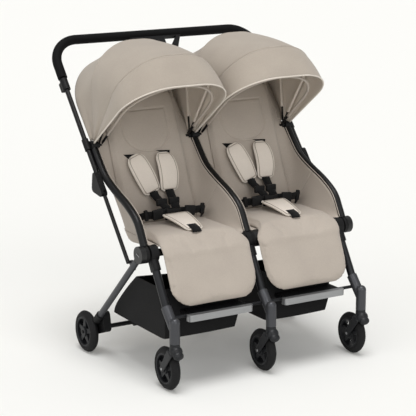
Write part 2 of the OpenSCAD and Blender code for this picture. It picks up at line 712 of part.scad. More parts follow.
// Latch boxes at the foot of the poles: rounded cases with a slot and a pin for the link rod
latch_w = 20;
latch_h = 52;
latch_back = 34;
latch_in = side_plane_x + side_tube_d / 2 + 1;
link_slot_w = 9;
link_eye_d = 13;
link_pin_d = 5;
link_pt = latch_pt - 10 * pole_dir;
module latch_boxes() {
  color("black") placed()
    for (s = [-1, 1]) {
      x0 = s > 0 ? latch_in : -latch_in - latch_w;
      slot_x = s * pole_plane_x - link_slot_w / 2 - run_gap;
      difference() {
        side_plane(x0) linear_extrude(height = latch_w) hull() {
          translate(link_pt) circle(r = 10, $fn = 32);
          translate(latch_pt + [latch_back, 2]) circle(r = 14, $fn = 32);
          translate(latch_pt + pole_dir * latch_h) circle(r = 10, $fn = 32);
        }
        handle_plane() translate([s * pole_plane_x, -latch_drop + 2, 0]) rotate([-90, 0, 0])
          cylinder(h = latch_h + 40, d = pole_d);
        side_plane(slot_x) translate(link_pt) cylinder(h = link_slot_w + 2 * run_gap, r = 11);
      }
      side_plane(slot_x) translate(link_pt) cylinder(h = link_slot_w + 2 * run_gap, d = link_pin_d);
    }
}

// Canopy hinges: clamps at the head of each side tube with a pin for the bow eyes
hinge_half_t = 11;
bow_pin_d = 8;
eye_pitch = 4.3;
bow_eye_t = 4;
module hinge_block(i) {
  side_plane(i * side_plane_x - hinge_half_t) translate(hinge) cylinder(h = 2 * hinge_half_t, r = 15);
}
module canopy_hinges() {
  color("black") placed() {
    for (i = frame_x) {
      difference() {
        union() {
          hinge_block(i);
          handle_plane() translate([i == 0 ? 0 : i * pole_plane_x, -norm(handle_pt - hinge) - 12, 0])
            rotate([-90, 0, 0]) cylinder(h = 38, d = pole_d + 6);
        }
        side_plane(i * side_plane_x) side_curve();
        handle_plane() translate([i * pole_plane_x, -latch_drop, 0]) rotate([-90, 0, 0])
          cylinder(h = i == 0 ? 1 : latch_drop, d = pole_d);
        if (i == 0) handle_plane()
          plane_bar([0, -norm(handle_pt - hinge) + 14], [0, -yoke_drop], pole_d);
      }
      for (s = i == -1 ? [1] : i == 0 ? [-1, 1] : [-1])
        side_plane(i * side_plane_x + s * hinge_half_t + (s < 0 ? -4 * eye_pitch : 0)) translate(hinge)
          cylinder(h = 4 * eye_pitch, d = bow_pin_d);
    }
  }
}

// Link rods from the pins in the latch boxes down to the rear legs
link_foot = hub + rear_dir * link_reach + [0.69, 0.72] * (rear_leg_d / 2 + link_d / 2 + 2);
link_dir = (link_foot - link_pt) / norm(link_foot - link_pt);
module link_rods() {
  color("black") placed()
    for (s = [-1, 1]) {
      side_plane(s * pole_plane_x) plane_bar(link_pt + link_dir * 14, link_foot, link_d);
      difference() {
        side_plane(s * pole_plane_x - link_slot_w / 2) union() {
          translate(link_pt) cylinder(h = link_slot_w, d = link_eye_d);
          translate(link_pt) rotate([0, 0, atan2(link_dir.y, link_dir.x)]) translate([0, -4, 0])
            cube([18, 8, link_slot_w]);
        }
        side_plane(s * pole_plane_x - 20) translate(link_pt) cylinder(h = 40, d = link_pin_d + 2 * pin_gap);
      }
    }
}

// Backrests lean back between the side tubes and recline about the seat's back edge
module on_back(s) {
  translate([s * seat_x, recline_y, recline_z]) rotate([90 - back_lean, 0, 0]) children();
}
// The foot of the pad is a rolled hem on the recline axis
back_hem_d = 30;
module back_pad(s) {
  color("tan") placed() on_back(s) {
    translate([0, 12, 0]) cushion(back_half_w, back_len, pad_t, 14, 20, 60);
    translate([16 - back_half_w, 0, 0]) rotate([0, 90, 0]) cylinder(h = 2 * back_half_w - 32, d = back_hem_d);
  }
}
module left_back_pad() { back_pad(-1); }
module right_back_pad() { back_pad(1); }

// Seat wings: cloth sides between the side tubes and the seat and back
wing_t = 3;
wing_n = 13;
wing_outer = side_tube_d / 2 + run_gap + wing_t;
function back_at(d) = [recline_y, recline_z] + d * [sin(back_lean), cos(back_lean)];
wing_low_pts = [[hub_y + 80, seat_mid_z], [hub_y + 140, seat_mid_z], [recline_y - 40, seat_mid_z + 4],
  back_at(60), back_at(150), back_at(250)];
wing_low_x = [seat_half_w, seat_half_w, seat_half_w, back_half_w, back_half_w, back_half_w];
function wing_pts(side, lift) = [for (k = [0:wing_n - 1], e = [0:1]) let (t = k / (wing_n - 1),
    p = e == 0 ? curve_at(side_pts, 0.24 + 0.7 * t) : curve_at(wing_low_pts, t),
    x = e == 0 ? seat_x - wing_outer : curve_at(wing_low_x, t) + 0.8)
  [side * (x + lift), p.x, p.y]];
module seat_wings(s) {
  color("tan") placed() translate([s * seat_x, 0, 0])
    for (side = [-1, 1])
      polyhedron(side > 0 ? concat(wing_pts(1, wing_t), wing_pts(1, 0))
        : concat(wing_pts(-1, 0), wing_pts(-1, wing_t)), skin_faces(wing_n, 2));
}
module left_seat_wings() { seat_wings(-1); }
module right_seat_wings() { seat_wings(1); }

// Shoulder pads lie on the front of the backrest and lean in towards the buckle
slot_up = 225;
slot_half_x = 54;
shoulder_len = 134;
module shoulder_pads(s) {
  color("wheat") placed() on_back(s)
    for (e = [-1, 1])
      translate([e * slot_half_x, slot_up, pad_t / 2 + 6.5 + run_gap]) rotate([0, 0, 180 - e * 10])
        cushion(28, shoulder_len, 13, 6, 22, 14, 9, 9);
}
module left_shoulder_pads() { shoulder_pads(-1); }
module right_shoulder_pads() { shoulder_pads(1); }

// Crotch pads lie on the seats, and the buckle stands at their back end
crotch_len = 150;
crotch_y = seat_front_y + 34;
crotch_z = seat_pad_z + pad_t + 5.5 + run_gap;
module crotch_pad(s) {
  color("wheat") placed() translate([s * seat_x, crotch_y, crotch_z])
    cushion(27, crotch_len, 11, 6, 16, 10, 9, 9);
}
module left_crotch_pad() { crotch_pad(-1); }
module right_crotch_pad() { crotch_pad(1); }
buckle_y = crotch_y + crotch_len - 18;
buckle_z = crotch_z + 5.5 + run_gap;
buckle_half_w = 27;
module buckle(s) {
  color("black") placed() translate([s * seat_x, buckle_y, buckle_z]) difference() {
    hull() for (e = [-1, 1]) translate([e * (buckle_half_w - 8), 0, 0]) cylinder(h = 34, r = 8, $fn = 32);
    translate([0, 4, 17]) rotate([90, 0, 0]) cylinder(h = 30, r = 8 + run_gap);
  }
}
module left_buckle() { buckle(-1); }
module right_buckle() { buckle(1); }
module buckle_button(s) {
  color("dimgray") placed() translate([s * seat_x, buckle_y - run_gap, buckle_z + 17]) rotate([90, 0, 0])
    cylinder(h = 9, r = 8);
}
module left_buckle_button() { buckle_button(-1); }
module right_buckle_button() { buckle_button(1); }

// Canopy bows: wire hoops on the hinge pins, each stood up at its own angle
function bow_half_w(k) = seat_x - hinge_half_t - run_gap - k * eye_pitch - bow_eye_t / 2;
module bow(s, k, reach, angle, corner) {
  half_w = bow_half_w(k);
  translate([s * seat_x, hinge_y, hinge_z]) rotate([180 - angle, 0, 0]) rotate([0, 0, 0]) {
    bent_bar([[-half_w, 8], [-half_w, reach], [half_w, reach], [half_w, 8]], [0, corner, corner, 0], bow_d);
    for (e = [-1, 1]) translate([e * half_w, 0, 0]) rotate([0, 90, 0]) difference() {
      cylinder(h = bow_eye_t, r = 9, center = true);
      cylinder(h = bow_eye_t + 2, d = bow_pin_d + 2 * pin_gap, center = true);
    }
  }
}
module rear_bows() {
  color("black") placed() for (s = [-1, 1]) bow(s, 0, rear_bow_r, rear_bow_angle, bow_corner_r);
}
module middle_bow(s) { color("black") placed() bow(s, 1, mid_bow_r, mid_bow_angle, bow_corner_r); }
module front_bow(s) { color("black") placed() bow(s, 2, front_bow_r, front_bow_angle, front_corner_r); }
module left_middle_bow() { middle_bow(-1); }
module right_middle_bow() { middle_bow(1); }
module left_front_bow() { front_bow(-1); }
module right_front_bow() { front_bow(1); }

// Canopy covers: one cloth from the seat back over the three bows to the visor edge
cover_n = 24;
// Clear of the bows also where the cloth's short straights cut across their corners
cover_gap = bow_d / 2 + 1.3;
cover_low_angle = 128;
cover_low_r = 250;
// How far the cloth stands out half way between two hoops: straight across, and a little puffed
function half_way(r0, a0, r1, a1, puff) = (r0 + r1) / 2 * cos((a0 - a1) / 2) + puff;
cover_reach = [cover_low_r, half_way(cover_low_r, cover_low_angle, rear_bow_r, rear_bow_angle, 8), rear_bow_r,
  half_way(rear_bow_r, rear_bow_angle, mid_bow_r, mid_bow_angle, 5), mid_bow_r,
  half_way(mid_bow_r, mid_bow_angle, front_bow_r, front_bow_angle, 2), front_bow_r];
cover_angle = [cover_low_angle, (cover_low_angle + rear_bow_angle) / 2, rear_bow_angle,
  (rear_bow_angle + mid_bow_angle) / 2, mid_bow_angle, (mid_bow_angle + front_bow_angle) / 2, front_bow_angle];
cover_corner = [for (m = [0:6]) m < 5 ? bow_corner_r : m == 5 ? (bow_corner_r + front_corner_r) / 2 : front_corner_r];
// A point of a hoop of half width a and height r with round shoulders, the same shape as the bows
cover_start = 36;
cover_half = cover_n / 2;
function half_hoop(k, a, r, c) = k == 0 ? [a, cover_start] : k == 1 ? [a, (cover_start + r - c) / 2]
  : let (turn = 90 * (k - 2) / (cover_half - 3)) [a - c + c * cos(turn), r - c + c * sin(turn)];
function hoop(k, a, r, c) = k < cover_half ? half_hoop(k, a, r, c)
  : let (p = half_hoop(cover_n - 1 - k, a, r, c)) [-p.x, p.y];
function cover_pts(grow) = [for (m = [0:6], k = [0:cover_n - 1])
  let (h = hoop(k, bow_half_w(0) + grow, cover_reach[m] + grow, cover_corner[m] + grow), a = cover_angle[m])
  [h.x, -h.y * cos(a), h.y * sin(a)]];
module canopy_cover(s) {
  color("tan") placed() translate([s * seat_x, hinge_y, hinge_z])
    polyhedron(concat(cover_pts(cover_gap), cover_pts(cover_gap + canopy_t)), skin_faces(7, cover_n));
}
module left_canopy_cover() { canopy_cover(-1); }
module right_canopy_cover() { canopy_cover(1); }

front_legs();
hub_housings();
stem_knuckles();
seat_cross_tube();
left_seat_pad();
right_seat_pad();
left_footrest();
right_footrest();
left_footrest_strip();
right_footrest_strip();
footrest_tubes();
left_basket();
right_basket();
left_calf_pad();
right_calf_pad();
left_fork();
middle_fork();
right_fork();
left_front_wheel();
middle_front_wheel();
right_front_wheel();
rear_legs();
rear_brackets();
rear_axle_tube();
brake_pedal();
left_rear_wheel();
middle_rear_wheel();
right_rear_wheel();
left_side_tube();
middle_side_tube();
right_side_tube();
handle_tube();
handle_grip();
middle_pole();
handle_yoke();
fold_button();
accessory_clamps();
latch_boxes();
canopy_hinges();
link_rods();
left_back_pad();
right_back_pad();
left_seat_wings();
right_seat_wings();
left_shoulder_pads();
right_shoulder_pads();
left_crotch_pad();
right_crotch_pad();
left_buckle();
right_buckle();
left_buckle_button();
right_buckle_button();
rear_bows();
left_middle_bow();
right_middle_bow();
left_front_bow();
right_front_bow();
left_canopy_cover();
right_canopy_cover();
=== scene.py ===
import math
import bpy
import bmesh
from mathutils import Matrix, Vector


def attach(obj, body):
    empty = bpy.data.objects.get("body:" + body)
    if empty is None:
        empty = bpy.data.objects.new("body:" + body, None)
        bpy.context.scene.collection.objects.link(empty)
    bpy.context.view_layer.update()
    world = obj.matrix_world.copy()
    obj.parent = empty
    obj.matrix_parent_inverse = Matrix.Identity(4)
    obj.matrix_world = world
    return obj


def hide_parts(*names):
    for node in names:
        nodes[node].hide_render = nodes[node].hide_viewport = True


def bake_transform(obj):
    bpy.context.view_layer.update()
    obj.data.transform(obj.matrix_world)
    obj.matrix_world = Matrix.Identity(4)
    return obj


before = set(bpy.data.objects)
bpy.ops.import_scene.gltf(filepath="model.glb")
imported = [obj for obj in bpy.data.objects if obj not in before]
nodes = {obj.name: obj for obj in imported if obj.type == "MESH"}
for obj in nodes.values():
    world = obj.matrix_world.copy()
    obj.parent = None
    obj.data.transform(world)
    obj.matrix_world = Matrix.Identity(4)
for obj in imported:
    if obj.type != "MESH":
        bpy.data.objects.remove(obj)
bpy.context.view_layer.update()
scene = bpy.context.scene

# Studio
# A pale floor that keeps a soft shadow, a broad soft light overhead, weaker ones from the front and the left,
# and a plain bright room.
# The camera stands where the photograph was taken from.
scene.view_settings.view_transform = "Standard"
camera = bpy.data.objects.new("camera", bpy.data.cameras.new("camera"))
scene.collection.objects.link(camera)
camera.data.lens = 135.24
camera.data.sensor_width = 36
camera.data.clip_end = 60
camera.location = (-2.465, -4.083, 1.567)
camera.rotation_mode = "QUATERNION"
camera.rotation_quaternion = Vector((0.5013, 0.8343, -0.2292)).to_track_quat("-Z", "Y")
scene.camera = camera


def hex_colour(code):
    """Linear colour of an sRGB hex value."""
    parts = [int(code[i:i + 2], 16) / 255 for i in (1, 3, 5)]
    return [p / 12.92 if p <= 0.04045 else ((p + 0.055) / 1.055) ** 2.4 for p in parts] + [1.0]


def set_inputs(tree, node, values=None, links=None):
    """Sets input values of a node and links outputs of other nodes to its inputs."""
    for name, value in (values or {}).items():
        node.inputs[name].default_value = value
    for name, output in (links or {}).items():
        tree.links.new(output, node.inputs[name])


def add_node(tree, kind, values=None, links=None, **settings):
    """Adds a node with its settings, input values and links."""
    made = tree.nodes.new(kind)
    for name, value in settings.items():
        setattr(made, name, value)
    set_inputs(tree, made, values, links)
    return made


def add_sun(name, strength, spread_deg, aim):
    """A soft light from far away that shines along aim."""
    sun = bpy.data.objects.new(name, bpy.data.lights.new(name, "SUN"))
    sun.data.energy = strength
    sun.data.angle = math.radians(spread_deg)
    sun.rotation_mode = "QUATERNION"
    sun.rotation_quaternion = Vector(aim).to_track_quat("-Z", "Y")
    scene.collection.objects.link(sun)


add_sun("top_light", 1.70, 32, (0.06, 0.14, -0.98))
add_sun("front_light", 0.80, 50, (0.10, 0.90, -0.42))
add_sun("left_light", 0.57, 50, (0.86, 0.20, -0.45))

room_white = hex_colour("#FAF9F5")
world = bpy.data.worlds.new("room")
scene.world = world
world.use_nodes = True
room = world.node_tree
room.nodes.clear()
room_path = add_node(room, "ShaderNodeLightPath")
room_seen = add_node(room, "ShaderNodeBackground", {"Color": room_white, "Strength": 1.0})
room_light = add_node(room, "ShaderNodeBackground", {"Color": hex_colour("#F4F3F1"), "Strength": 0.47})
room_mix = add_node(room, "ShaderNodeMixShader", links={0: room_path.outputs["Is Camera Ray"],
                                                        1: room_light.outputs[0], 2: room_seen.outputs[0]})
add_node(room, "ShaderNodeOutputWorld", links={"Surface": room_mix.outputs[0]})

floor_mesh = bmesh.new()
bmesh.ops.create_grid(floor_mesh, x_segments=2, y_segments=2, size=30)
floor = bpy.data.objects.new("floor", bpy.data.meshes.new("floor"))
floor_mesh.to_mesh(floor.data)
floor_mesh.free()
scene.collection.objects.link(floor)
floor_paint = bpy.data.materials.new("pale_studio_floor")
floor_paint.use_nodes = True
tree = floor_paint.node_tree
tree.nodes.clear()
floor_path = add_node(tree, "ShaderNodeLightPath")
floor_seen = add_node(tree, "ShaderNodeMath", {1: 0.08}, {0: floor_path.outputs["Is Camera Ray"]},
                      operation="MULTIPLY")
floor_glow = add_node(tree, "ShaderNodeEmission", {"Color": room_white}, {"Strength": floor_seen.outputs[0]})
floor_cloth = add_node(tree, "ShaderNodeBsdfDiffuse", {"Color": (0.79, 0.79, 0.77, 1.0)})
floor_sum = add_node(tree, "ShaderNodeAddShader", links={0: floor_glow.outputs[0], 1: floor_cloth.outputs[0]})
add_node(tree, "ShaderNodeOutputMaterial", links={"Surface": floor_sum.outputs[0]})
floor.data.materials.append(floor_paint)

# Front legs, stem knuckles, rear legs and footrest tubes
# Extruded aluminium tube and castings under a dark grey metallic paint, baked on.
# The paint shows a broad soft highlight along each tube and a faint fleck. The rear legs end in nylon eyes on the hubs.
hub_y, hub_z = -0.211, 0.390
leg_eye_radius = 0.034
paint_metallic = 0.55


def new_material(name):
    """A material with its tree, its shader and the place of each point on the piece, for one real finish."""
    made = bpy.data.materials.new(name)
    made.use_nodes = True
    tree = made.node_tree
    return made, tree, tree.nodes["Principled BSDF"], add_node(tree, "ShaderNodeTexCoord").outputs["Object"]


def set_tones(ramp, low, high):
    """Sets the two colours that a ramp runs between."""
    for element, code in zip(ramp.color_ramp.elements, (low, high)):
        element.color = hex_colour(code)


def scale_for(period):
    """Scale of a noise texture whose blotches are about this many metres across."""
    return 1.0 / period


def dress(material, *names):
    """Gives CAD nodes a finish in place of their own."""
    for name in names:
        nodes[name].data.materials.clear()
        nodes[name].data.materials.append(material)


def painted(name, low, high, eye=None):
    """Metallic paint on aluminium between two greys, with a fine fleck and slight wear.

    Where an eye is named, by its axis in Y and Z and its radius, the tube ends in a black nylon moulding.
    """
    made, tree, shader, place = new_material(name)
    fleck = add_node(tree, "ShaderNodeTexNoise", {"Scale": scale_for(0.0012), "Detail": 2.0}, {"Vector": place})
    tone = add_node(tree, "ShaderNodeValToRGB", links={0: fleck.outputs["Fac"]})
    set_tones(tone, low, high)
    wear = add_node(tree, "ShaderNodeTexNoise", {"Scale": scale_for(0.03), "Detail": 4.0}, {"Vector": place})
    rough = add_node(tree, "ShaderNodeMapRange", {"To Min": 0.30, "To Max": 0.42}, {"Value": wear.outputs["Fac"]})
    peel = add_node(tree, "ShaderNodeBump", {"Strength": 0.05, "Distance": 0.0004},
                    {"Height": fleck.outputs["Fac"]})
    set_inputs(tree, shader, {"Metallic": paint_metallic},
               {"Base Color": tone.outputs[0], "Roughness": rough.outputs[0], "Normal": peel.outputs[0]})
    if eye:
        eye_y, eye_z, eye_radius = eye
        flat = add_node(tree, "ShaderNodeMapping", {"Scale": (0, 1, 1)}, {"Vector": place})
        away = add_node(tree, "ShaderNodeVectorMath", {1: (0, eye_y, eye_z)}, {0: flat.outputs[0]},
                        operation="DISTANCE")
        on_eye = add_node(tree, "ShaderNodeMath", {1: eye_radius}, {0: away.outputs["Value"]},
                          operation="LESS_THAN")
        both = add_node(tree, "ShaderNodeMix", {7: hex_colour("#111112")},
                        {0: on_eye.outputs[0], 6: tone.outputs[0]}, data_type="RGBA")
        metal = add_node(tree, "ShaderNodeMapRange", {"To Min": paint_metallic, "To Max": 0.0},
                         {"Value": on_eye.outputs[0]})
        set_inputs(tree, shader, links={"Base Color": both.outputs[2], "Metallic": metal.outputs[0]})
    return made


gunmetal = painted("gunmetal_painted_aluminium", "#3C3D40", "#505155")
# The front legs and footrest tubes carry the same paint in darker tones: painted shade.
gunmetal_in_painted_shade = painted("gunmetal_painted_aluminium_in_painted_shade", "#1A1B1D", "#28292C")
eyed_gunmetal = painted("gunmetal_painted_aluminium_with_nylon_eyes", "#3C3D40", "#505155",
                        (hub_y, hub_z, leg_eye_radius))
dress(gunmetal, "stem_knuckles")
dress(eyed_gunmetal, "rear_legs")
dress(gunmetal_in_painted_shade, "front_legs", "footrest_tubes")

# Hub housings, brackets, clamps, hinges and other mouldings
# Glass filled nylon, moulded against a spark eroded tool: satin black with a fine even grain.


def grained(name, low, high, grain_m, detail, bump, depth, rough, gloss, rough_high=None, dust_m=None):
    """A moulded or coated skin between two tones, with a fine raised grain.

    Its roughness can rise with the grain to rough_high, and its tone can follow broader dust instead of the grain.
    """
    made, tree, shader, place = new_material(name)
    grain = add_node(tree, "ShaderNodeTexNoise", {"Scale": scale_for(grain_m), "Detail": detail}, {"Vector": place})
    blotch = grain
    if dust_m:
        blotch = add_node(tree, "ShaderNodeTexNoise", {"Scale": scale_for(dust_m), "Detail": 5.0}, {"Vector": place})
    tone = add_node(tree, "ShaderNodeValToRGB", links={0: blotch.outputs["Fac"]})
    set_tones(tone, low, high)
    relief = add_node(tree, "ShaderNodeBump", {"Strength": bump, "Distance": depth},
                      {"Height": grain.outputs["Fac"]})
    set_inputs(tree, shader, {"Roughness": rough, "Specular IOR Level": gloss},
               {"Base Color": tone.outputs[0], "Normal": relief.outputs[0]})
    if rough_high:
        spread = add_node(tree, "ShaderNodeMapRange", {"To Min": rough, "To Max": rough_high},
                          {"Value": grain.outputs["Fac"]})
        set_inputs(tree, shader, links={"Roughness": spread.outputs[0]})
    return made


nylon = grained("black_moulded_nylon", "#0C0C0D", "#151516", 0.0016, 3.0, 0.12, 0.0004, 0.42, 0.22, rough_high=0.58)
dress(nylon, "hub_housings", "rear_brackets", "brake_pedal", "handle_yoke", "fold_button", "accessory_clamps",
      "latch_boxes", "canopy_hinges", "left_buckle", "right_buckle", "left_footrest", "right_footrest",
      "left_buckle_button", "right_buckle_button")

# Poles, cross tubes, link rods and canopy bows
# Drawn aluminium tube under satin black powder coat, with a slight orange peel.
black_coat = grained("satin_black_powder_coat", "#09090A", "#111112", 0.0025, 1.0, 0.06, 0.0005, 0.40, 0.3)
dress(black_coat, "seat_cross_tube", "rear_axle_tube", "handle_tube", "middle_pole", "link_rods", "rear_bows",
      "left_middle_bow", "right_middle_bow")

# Push bar grip
# A closed cell foam sleeve over the bent bar: matte, dense, with a fine pitted skin.
foam, tree, shader, place = new_material("closed_cell_foam_grip")
pits = add_node(tree, "ShaderNodeTexVoronoi", {"Scale": scale_for(0.0022)}, {"Vector": place})
cloud = add_node(tree, "ShaderNodeTexNoise", {"Scale": scale_for(0.02), "Detail": 3.0}, {"Vector": place})
tone = add_node(tree, "ShaderNodeValToRGB", links={0: cloud.outputs["Fac"]})
set_tones(tone, "#060607", "#0D0D0E")
pit_bump = add_node(tree, "ShaderNodeBump", {"Strength": 0.25, "Distance": 0.0005},
                    {"Height": pits.outputs["Distance"]})
set_inputs(tree, shader, {"Roughness": 0.72, "Specular IOR Level": 0.15},
           {"Base Color": tone.outputs[0], "Normal": pit_bump.outputs[0]})
dress(foam, "handle_grip")

# Footrest strips
# Extruded aluminium, satin anodised: pale grey with fine drawing lines along its length.
anodised, tree, shader, place = new_material("satin_anodised_aluminium")
drawn = add_node(tree, "ShaderNodeMapping", {"Scale": (12, 900, 900)}, {"Vector": place})
lines = add_node(tree, "ShaderNodeTexNoise", {"Scale": 1.0, "Detail": 2.0}, {"Vector": drawn.outputs[0]})
tone = add_node(tree, "ShaderNodeValToRGB", links={0: lines.outputs["Fac"]})
set_tones(tone, "#8A8B8D", "#B2B3B4")
rough = add_node(tree, "ShaderNodeMapRange", {"To Min": 0.32, "To Max": 0.46}, {"Value": lines.outputs["Fac"]})
set_inputs(tree, shader, {"Metallic": 0.85}, {"Base Color": tone.outputs[0], "Roughness": rough.outputs[0]})
dress(anodised, "left_footrest_strip", "right_footrest_strip")

# Caster forks
# The housings' nylon, a shade lighter: a rounded crown with a lock nose and two arms down to the axle, moulded in one.
# A bright axle screw shows on the outside of each arm.
fork_nylon = grained("charcoal_moulded_nylon", "#17181A", "#222326", 0.0018, 3.0, 0.1, 0.0004, 0.42, 0.3)
caster_x = 0.332
front_axle = (-0.303, 0.065)
axle, crown = Vector(front_axle), Vector((-0.349, 0.1255))
below_axle = axle + (axle - crown).normalized() * 0.009
arm_across = Vector((crown.y - axle.y, axle.x - crown.x)).normalized()
arm_x, arm_thick, arm_low, arm_high = 0.0186, 0.0044, 0.021, 0.029
screw_x = 0.0212


def finish_piece(mesh, name, material, smooth=True):
    """Turns a bmesh into a piece with its normals outwards."""
    bmesh.ops.remove_doubles(mesh, verts=mesh.verts, dist=1e-6)
    bmesh.ops.recalc_face_normals(mesh, faces=mesh.faces)
    piece = bpy.data.objects.new(name, bpy.data.meshes.new(name))
    for face in mesh.faces:
        face.smooth = smooth
    mesh.to_mesh(piece.data)
    mesh.free()
    piece.data.materials.append(material)
    scene.collection.objects.link(piece)
    return piece


def turn(mesh, verts, degrees, axis):
    """Turns part of a bmesh about an axis through the origin."""
    bmesh.ops.rotate(mesh, cent=(0, 0, 0), matrix=Matrix.Rotation(math.radians(degrees), 3, axis), verts=verts)


def round_edges(mesh, edges, offset, segments):
    """Rounds some edges of a bmesh."""
    bmesh.ops.bevel(mesh, geom=edges, offset=offset, segments=segments, affect="EDGES", profile=0.5, material=-1)


def edges_at(verts):
    """The edges that meet at some corners of a bmesh."""
    return list({edge for v in verts for edge in v.link_edges})


def blob(mesh, centre, size):
    """A rounded lump of a moulding."""
    made = bmesh.ops.create_uvsphere(mesh, u_segments=24, v_segments=16, radius=1.0)["verts"]
    bmesh.ops.scale(mesh, vec=size, verts=made)
    bmesh.ops.translate(mesh, vec=centre, verts=made)


for side, x in (("left", -caster_x), ("middle", 0.0), ("right", caster_x)):
    fork = bmesh.new()
    blob(fork, (x, -0.354, 0.1285), (0.0200, 0.0180, 0.0175))
    blob(fork, (x, -0.3685, 0.1190), (0.0165, 0.0110, 0.0125))
    foot = bmesh.ops.create_cone(fork, cap_ends=True, segments=32, radius1=0.0165, radius2=0.0150,
                                 depth=0.020)["verts"]
    bmesh.ops.translate(fork, vec=(x, -0.347, 0.1405), verts=foot)
    for e in (-1, 1):
        arm = bmesh.ops.create_cube(fork, size=1.0)["verts"]
        for v in arm:
            end, wide = (below_axle, arm_low) if v.co.z < 0 else (crown, arm_high)
            step = arm_across * v.co.y * wide
            v.co = Vector((x + e * arm_x + v.co.x * arm_thick, end.x + step.x, end.y + step.y))
        round_edges(fork, edges_at(arm), 0.0018, 2)
        cap = bmesh.ops.create_cone(fork, cap_ends=True, segments=32, radius1=0.0105, radius2=0.0105,
                                    depth=arm_thick)["verts"]
        turn(fork, cap, 90, "Y")
        bmesh.ops.translate(fork, vec=(x + e * arm_x, *front_axle), verts=cap)
    piece = finish_piece(fork, side + "_caster_fork", fork_nylon)
    grown = piece.modifiers.new("grown", "REMESH")
    grown.mode = "VOXEL"
    grown.voxel_size = 0.0011
    grown.use_smooth_shade = True
    soft = piece.modifiers.new("soft", "SMOOTH")
    soft.factor = 0.5
    soft.iterations = 3
    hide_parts(side + "_fork")
    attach(piece, side + "_caster")
    for which, e in (("left", -1), ("right", 1)):
        screw = bmesh.new()
        bmesh.ops.create_cone(screw, cap_ends=True, segments=24, radius1=0.0042, radius2=0.0034, depth=0.0014)
        turn(screw, screw.verts, 90 * e, "Y")
        bmesh.ops.translate(screw, vec=(x + e * screw_x, *front_axle), verts=screw.verts)
        screw_piece = finish_piece(screw, f"{side}_caster_fork_screw_{which}", anodised, smooth=False)
        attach(screw_piece, side + "_caster")

# Wheels
# Foam rubber tyres pressed on moulded nylon rims with a five armed star and a ring round the hub.
rubber = grained("foam_rubber_tyre", "#0E0E0F", "#19191A", 0.0012, 2.0, 0.2, 0.0004, 0.68, 0.25, dust_m=0.012)
rear_axle = (0.132, 0.066)
front_diameter, rear_diameter, wheel_width = 0.130, 0.132, 0.030
star_arms = 5


def spin_ring(mesh, profile, steps):
    """Spins a closed profile of (radius, x) points round the X axis."""
    verts = [mesh.verts.new((x, 0, r)) for r, x in profile]
    edges = [mesh.edges.new((verts[i], verts[(i + 1) % len(verts)])) for i in range(len(verts))]
    bmesh.ops.spin(mesh, geom=verts + edges, cent=(0, 0, 0), axis=(1, 0, 0), angle=2 * math.pi,
                   steps=steps, use_merge=True)


def make_wheel(label, centre, diameter):
    """A tyre and its rim, for one wheel."""
    outer, half = diameter / 2, wheel_width / 2
    tyre = bmesh.new()
    spin_ring(tyre, [(outer - 0.0015, half * 0.30), (outer, 0.0), (outer - 0.0015, -half * 0.30),
                     (outer - 0.0055, -half * 0.68), (outer - 0.013, -half * 0.93), (outer - 0.0185, -half * 0.90),
                     (outer - 0.0185, half * 0.90), (outer - 0.013, half * 0.93), (outer - 0.0055, half * 0.68)], 72)
    bmesh.ops.translate(tyre, vec=centre, verts=tyre.verts)
    tyre_piece = finish_piece(tyre, label + "_tyre", rubber)
    rim = bmesh.new()
    rim_out = outer - 0.0182
    spin_ring(rim, [(rim_out, half * 0.86), (rim_out, -half * 0.86), (rim_out - 0.003, -half * 0.92),
                    (rim_out - 0.006, -half * 0.80), (rim_out - 0.006, half * 0.80),
                    (rim_out - 0.003, half * 0.92)], 60)
    spin_ring(rim, [(0.0165, half * 0.88), (0.0165, -half * 0.88), (0.014, -half * 0.96), (0.0055, -half * 0.96),
                    (0.0055, half * 0.96), (0.014, half * 0.96)], 36)
    for k in range(star_arms):
        arm = bmesh.ops.create_cube(rim, size=1.0)["verts"]
        for v in arm:
            deep, wide, reach = (0.66, 0.019, 0.013) if v.co.z < 0 else (0.52, 0.010, rim_out - 0.004)
            v.co = Vector((v.co.x * wheel_width * deep, v.co.y * wide, reach))
        round_edges(rim, edges_at(arm), 0.0016, 2)
        turn(rim, rim.verts, 360 / star_arms, "X")
    bmesh.ops.translate(rim, vec=centre, verts=rim.verts)
    rim_piece = finish_piece(rim, label + "_tyre_rim", fork_nylon, smooth=False)
    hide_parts(label + "_wheel")
    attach(tyre_piece, label + "_wheel_body")
    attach(rim_piece, label + "_wheel_body")


for side, x_front, x_rear in (("left", -caster_x, -0.376), ("middle", 0.0, 0.037), ("right", caster_x, 0.376)):
    make_wheel(side + "_front", (x_front, *front_axle), front_diameter)
    make_wheel(side + "_rear", (x_rear, *rear_axle), rear_diameter)

# Side tubes
# Bent round aluminium tube in satin black, from a nylon eye on the fold hub up in an S to the canopy hinge.
# A short bright bar lies across each outer hub.
side_line = [(-0.208, 0.412), (-0.195, 0.436), (-0.165, 0.481), (-0.109, 0.515), (-0.031, 0.546), (0.030, 0.576),
             (0.073, 0.617), (0.105, 0.653)]
side_x, side_radius = 0.354, 0.0116
eye_radius, eye_thick = 0.026, 0.011
bright_bar_x = 0.3774


def curve_at(points, t):
    """A point at t from 0 to 1 along a smooth curve through points."""
    last = len(points) - 1
    k = min(int(t * last), last - 1)
    f = t * last - k
    a, b, c, d = (Vector(points[min(max(i, 0), last)]) for i in (k - 1, k, k + 1, k + 2))
    return (2 * b + (c - a) * f + (2 * a - 5 * b + 4 * c - d) * f * f + (3 * b - a - 3 * c + d) * f ** 3) / 2


def applied(piece):
    """The mesh of an object with its modifiers or its bevel worked in."""
    bpy.context.view_layer.update()
    return bpy.data.meshes.new_from_object(piece.evaluated_get(bpy.context.evaluated_depsgraph_get()))


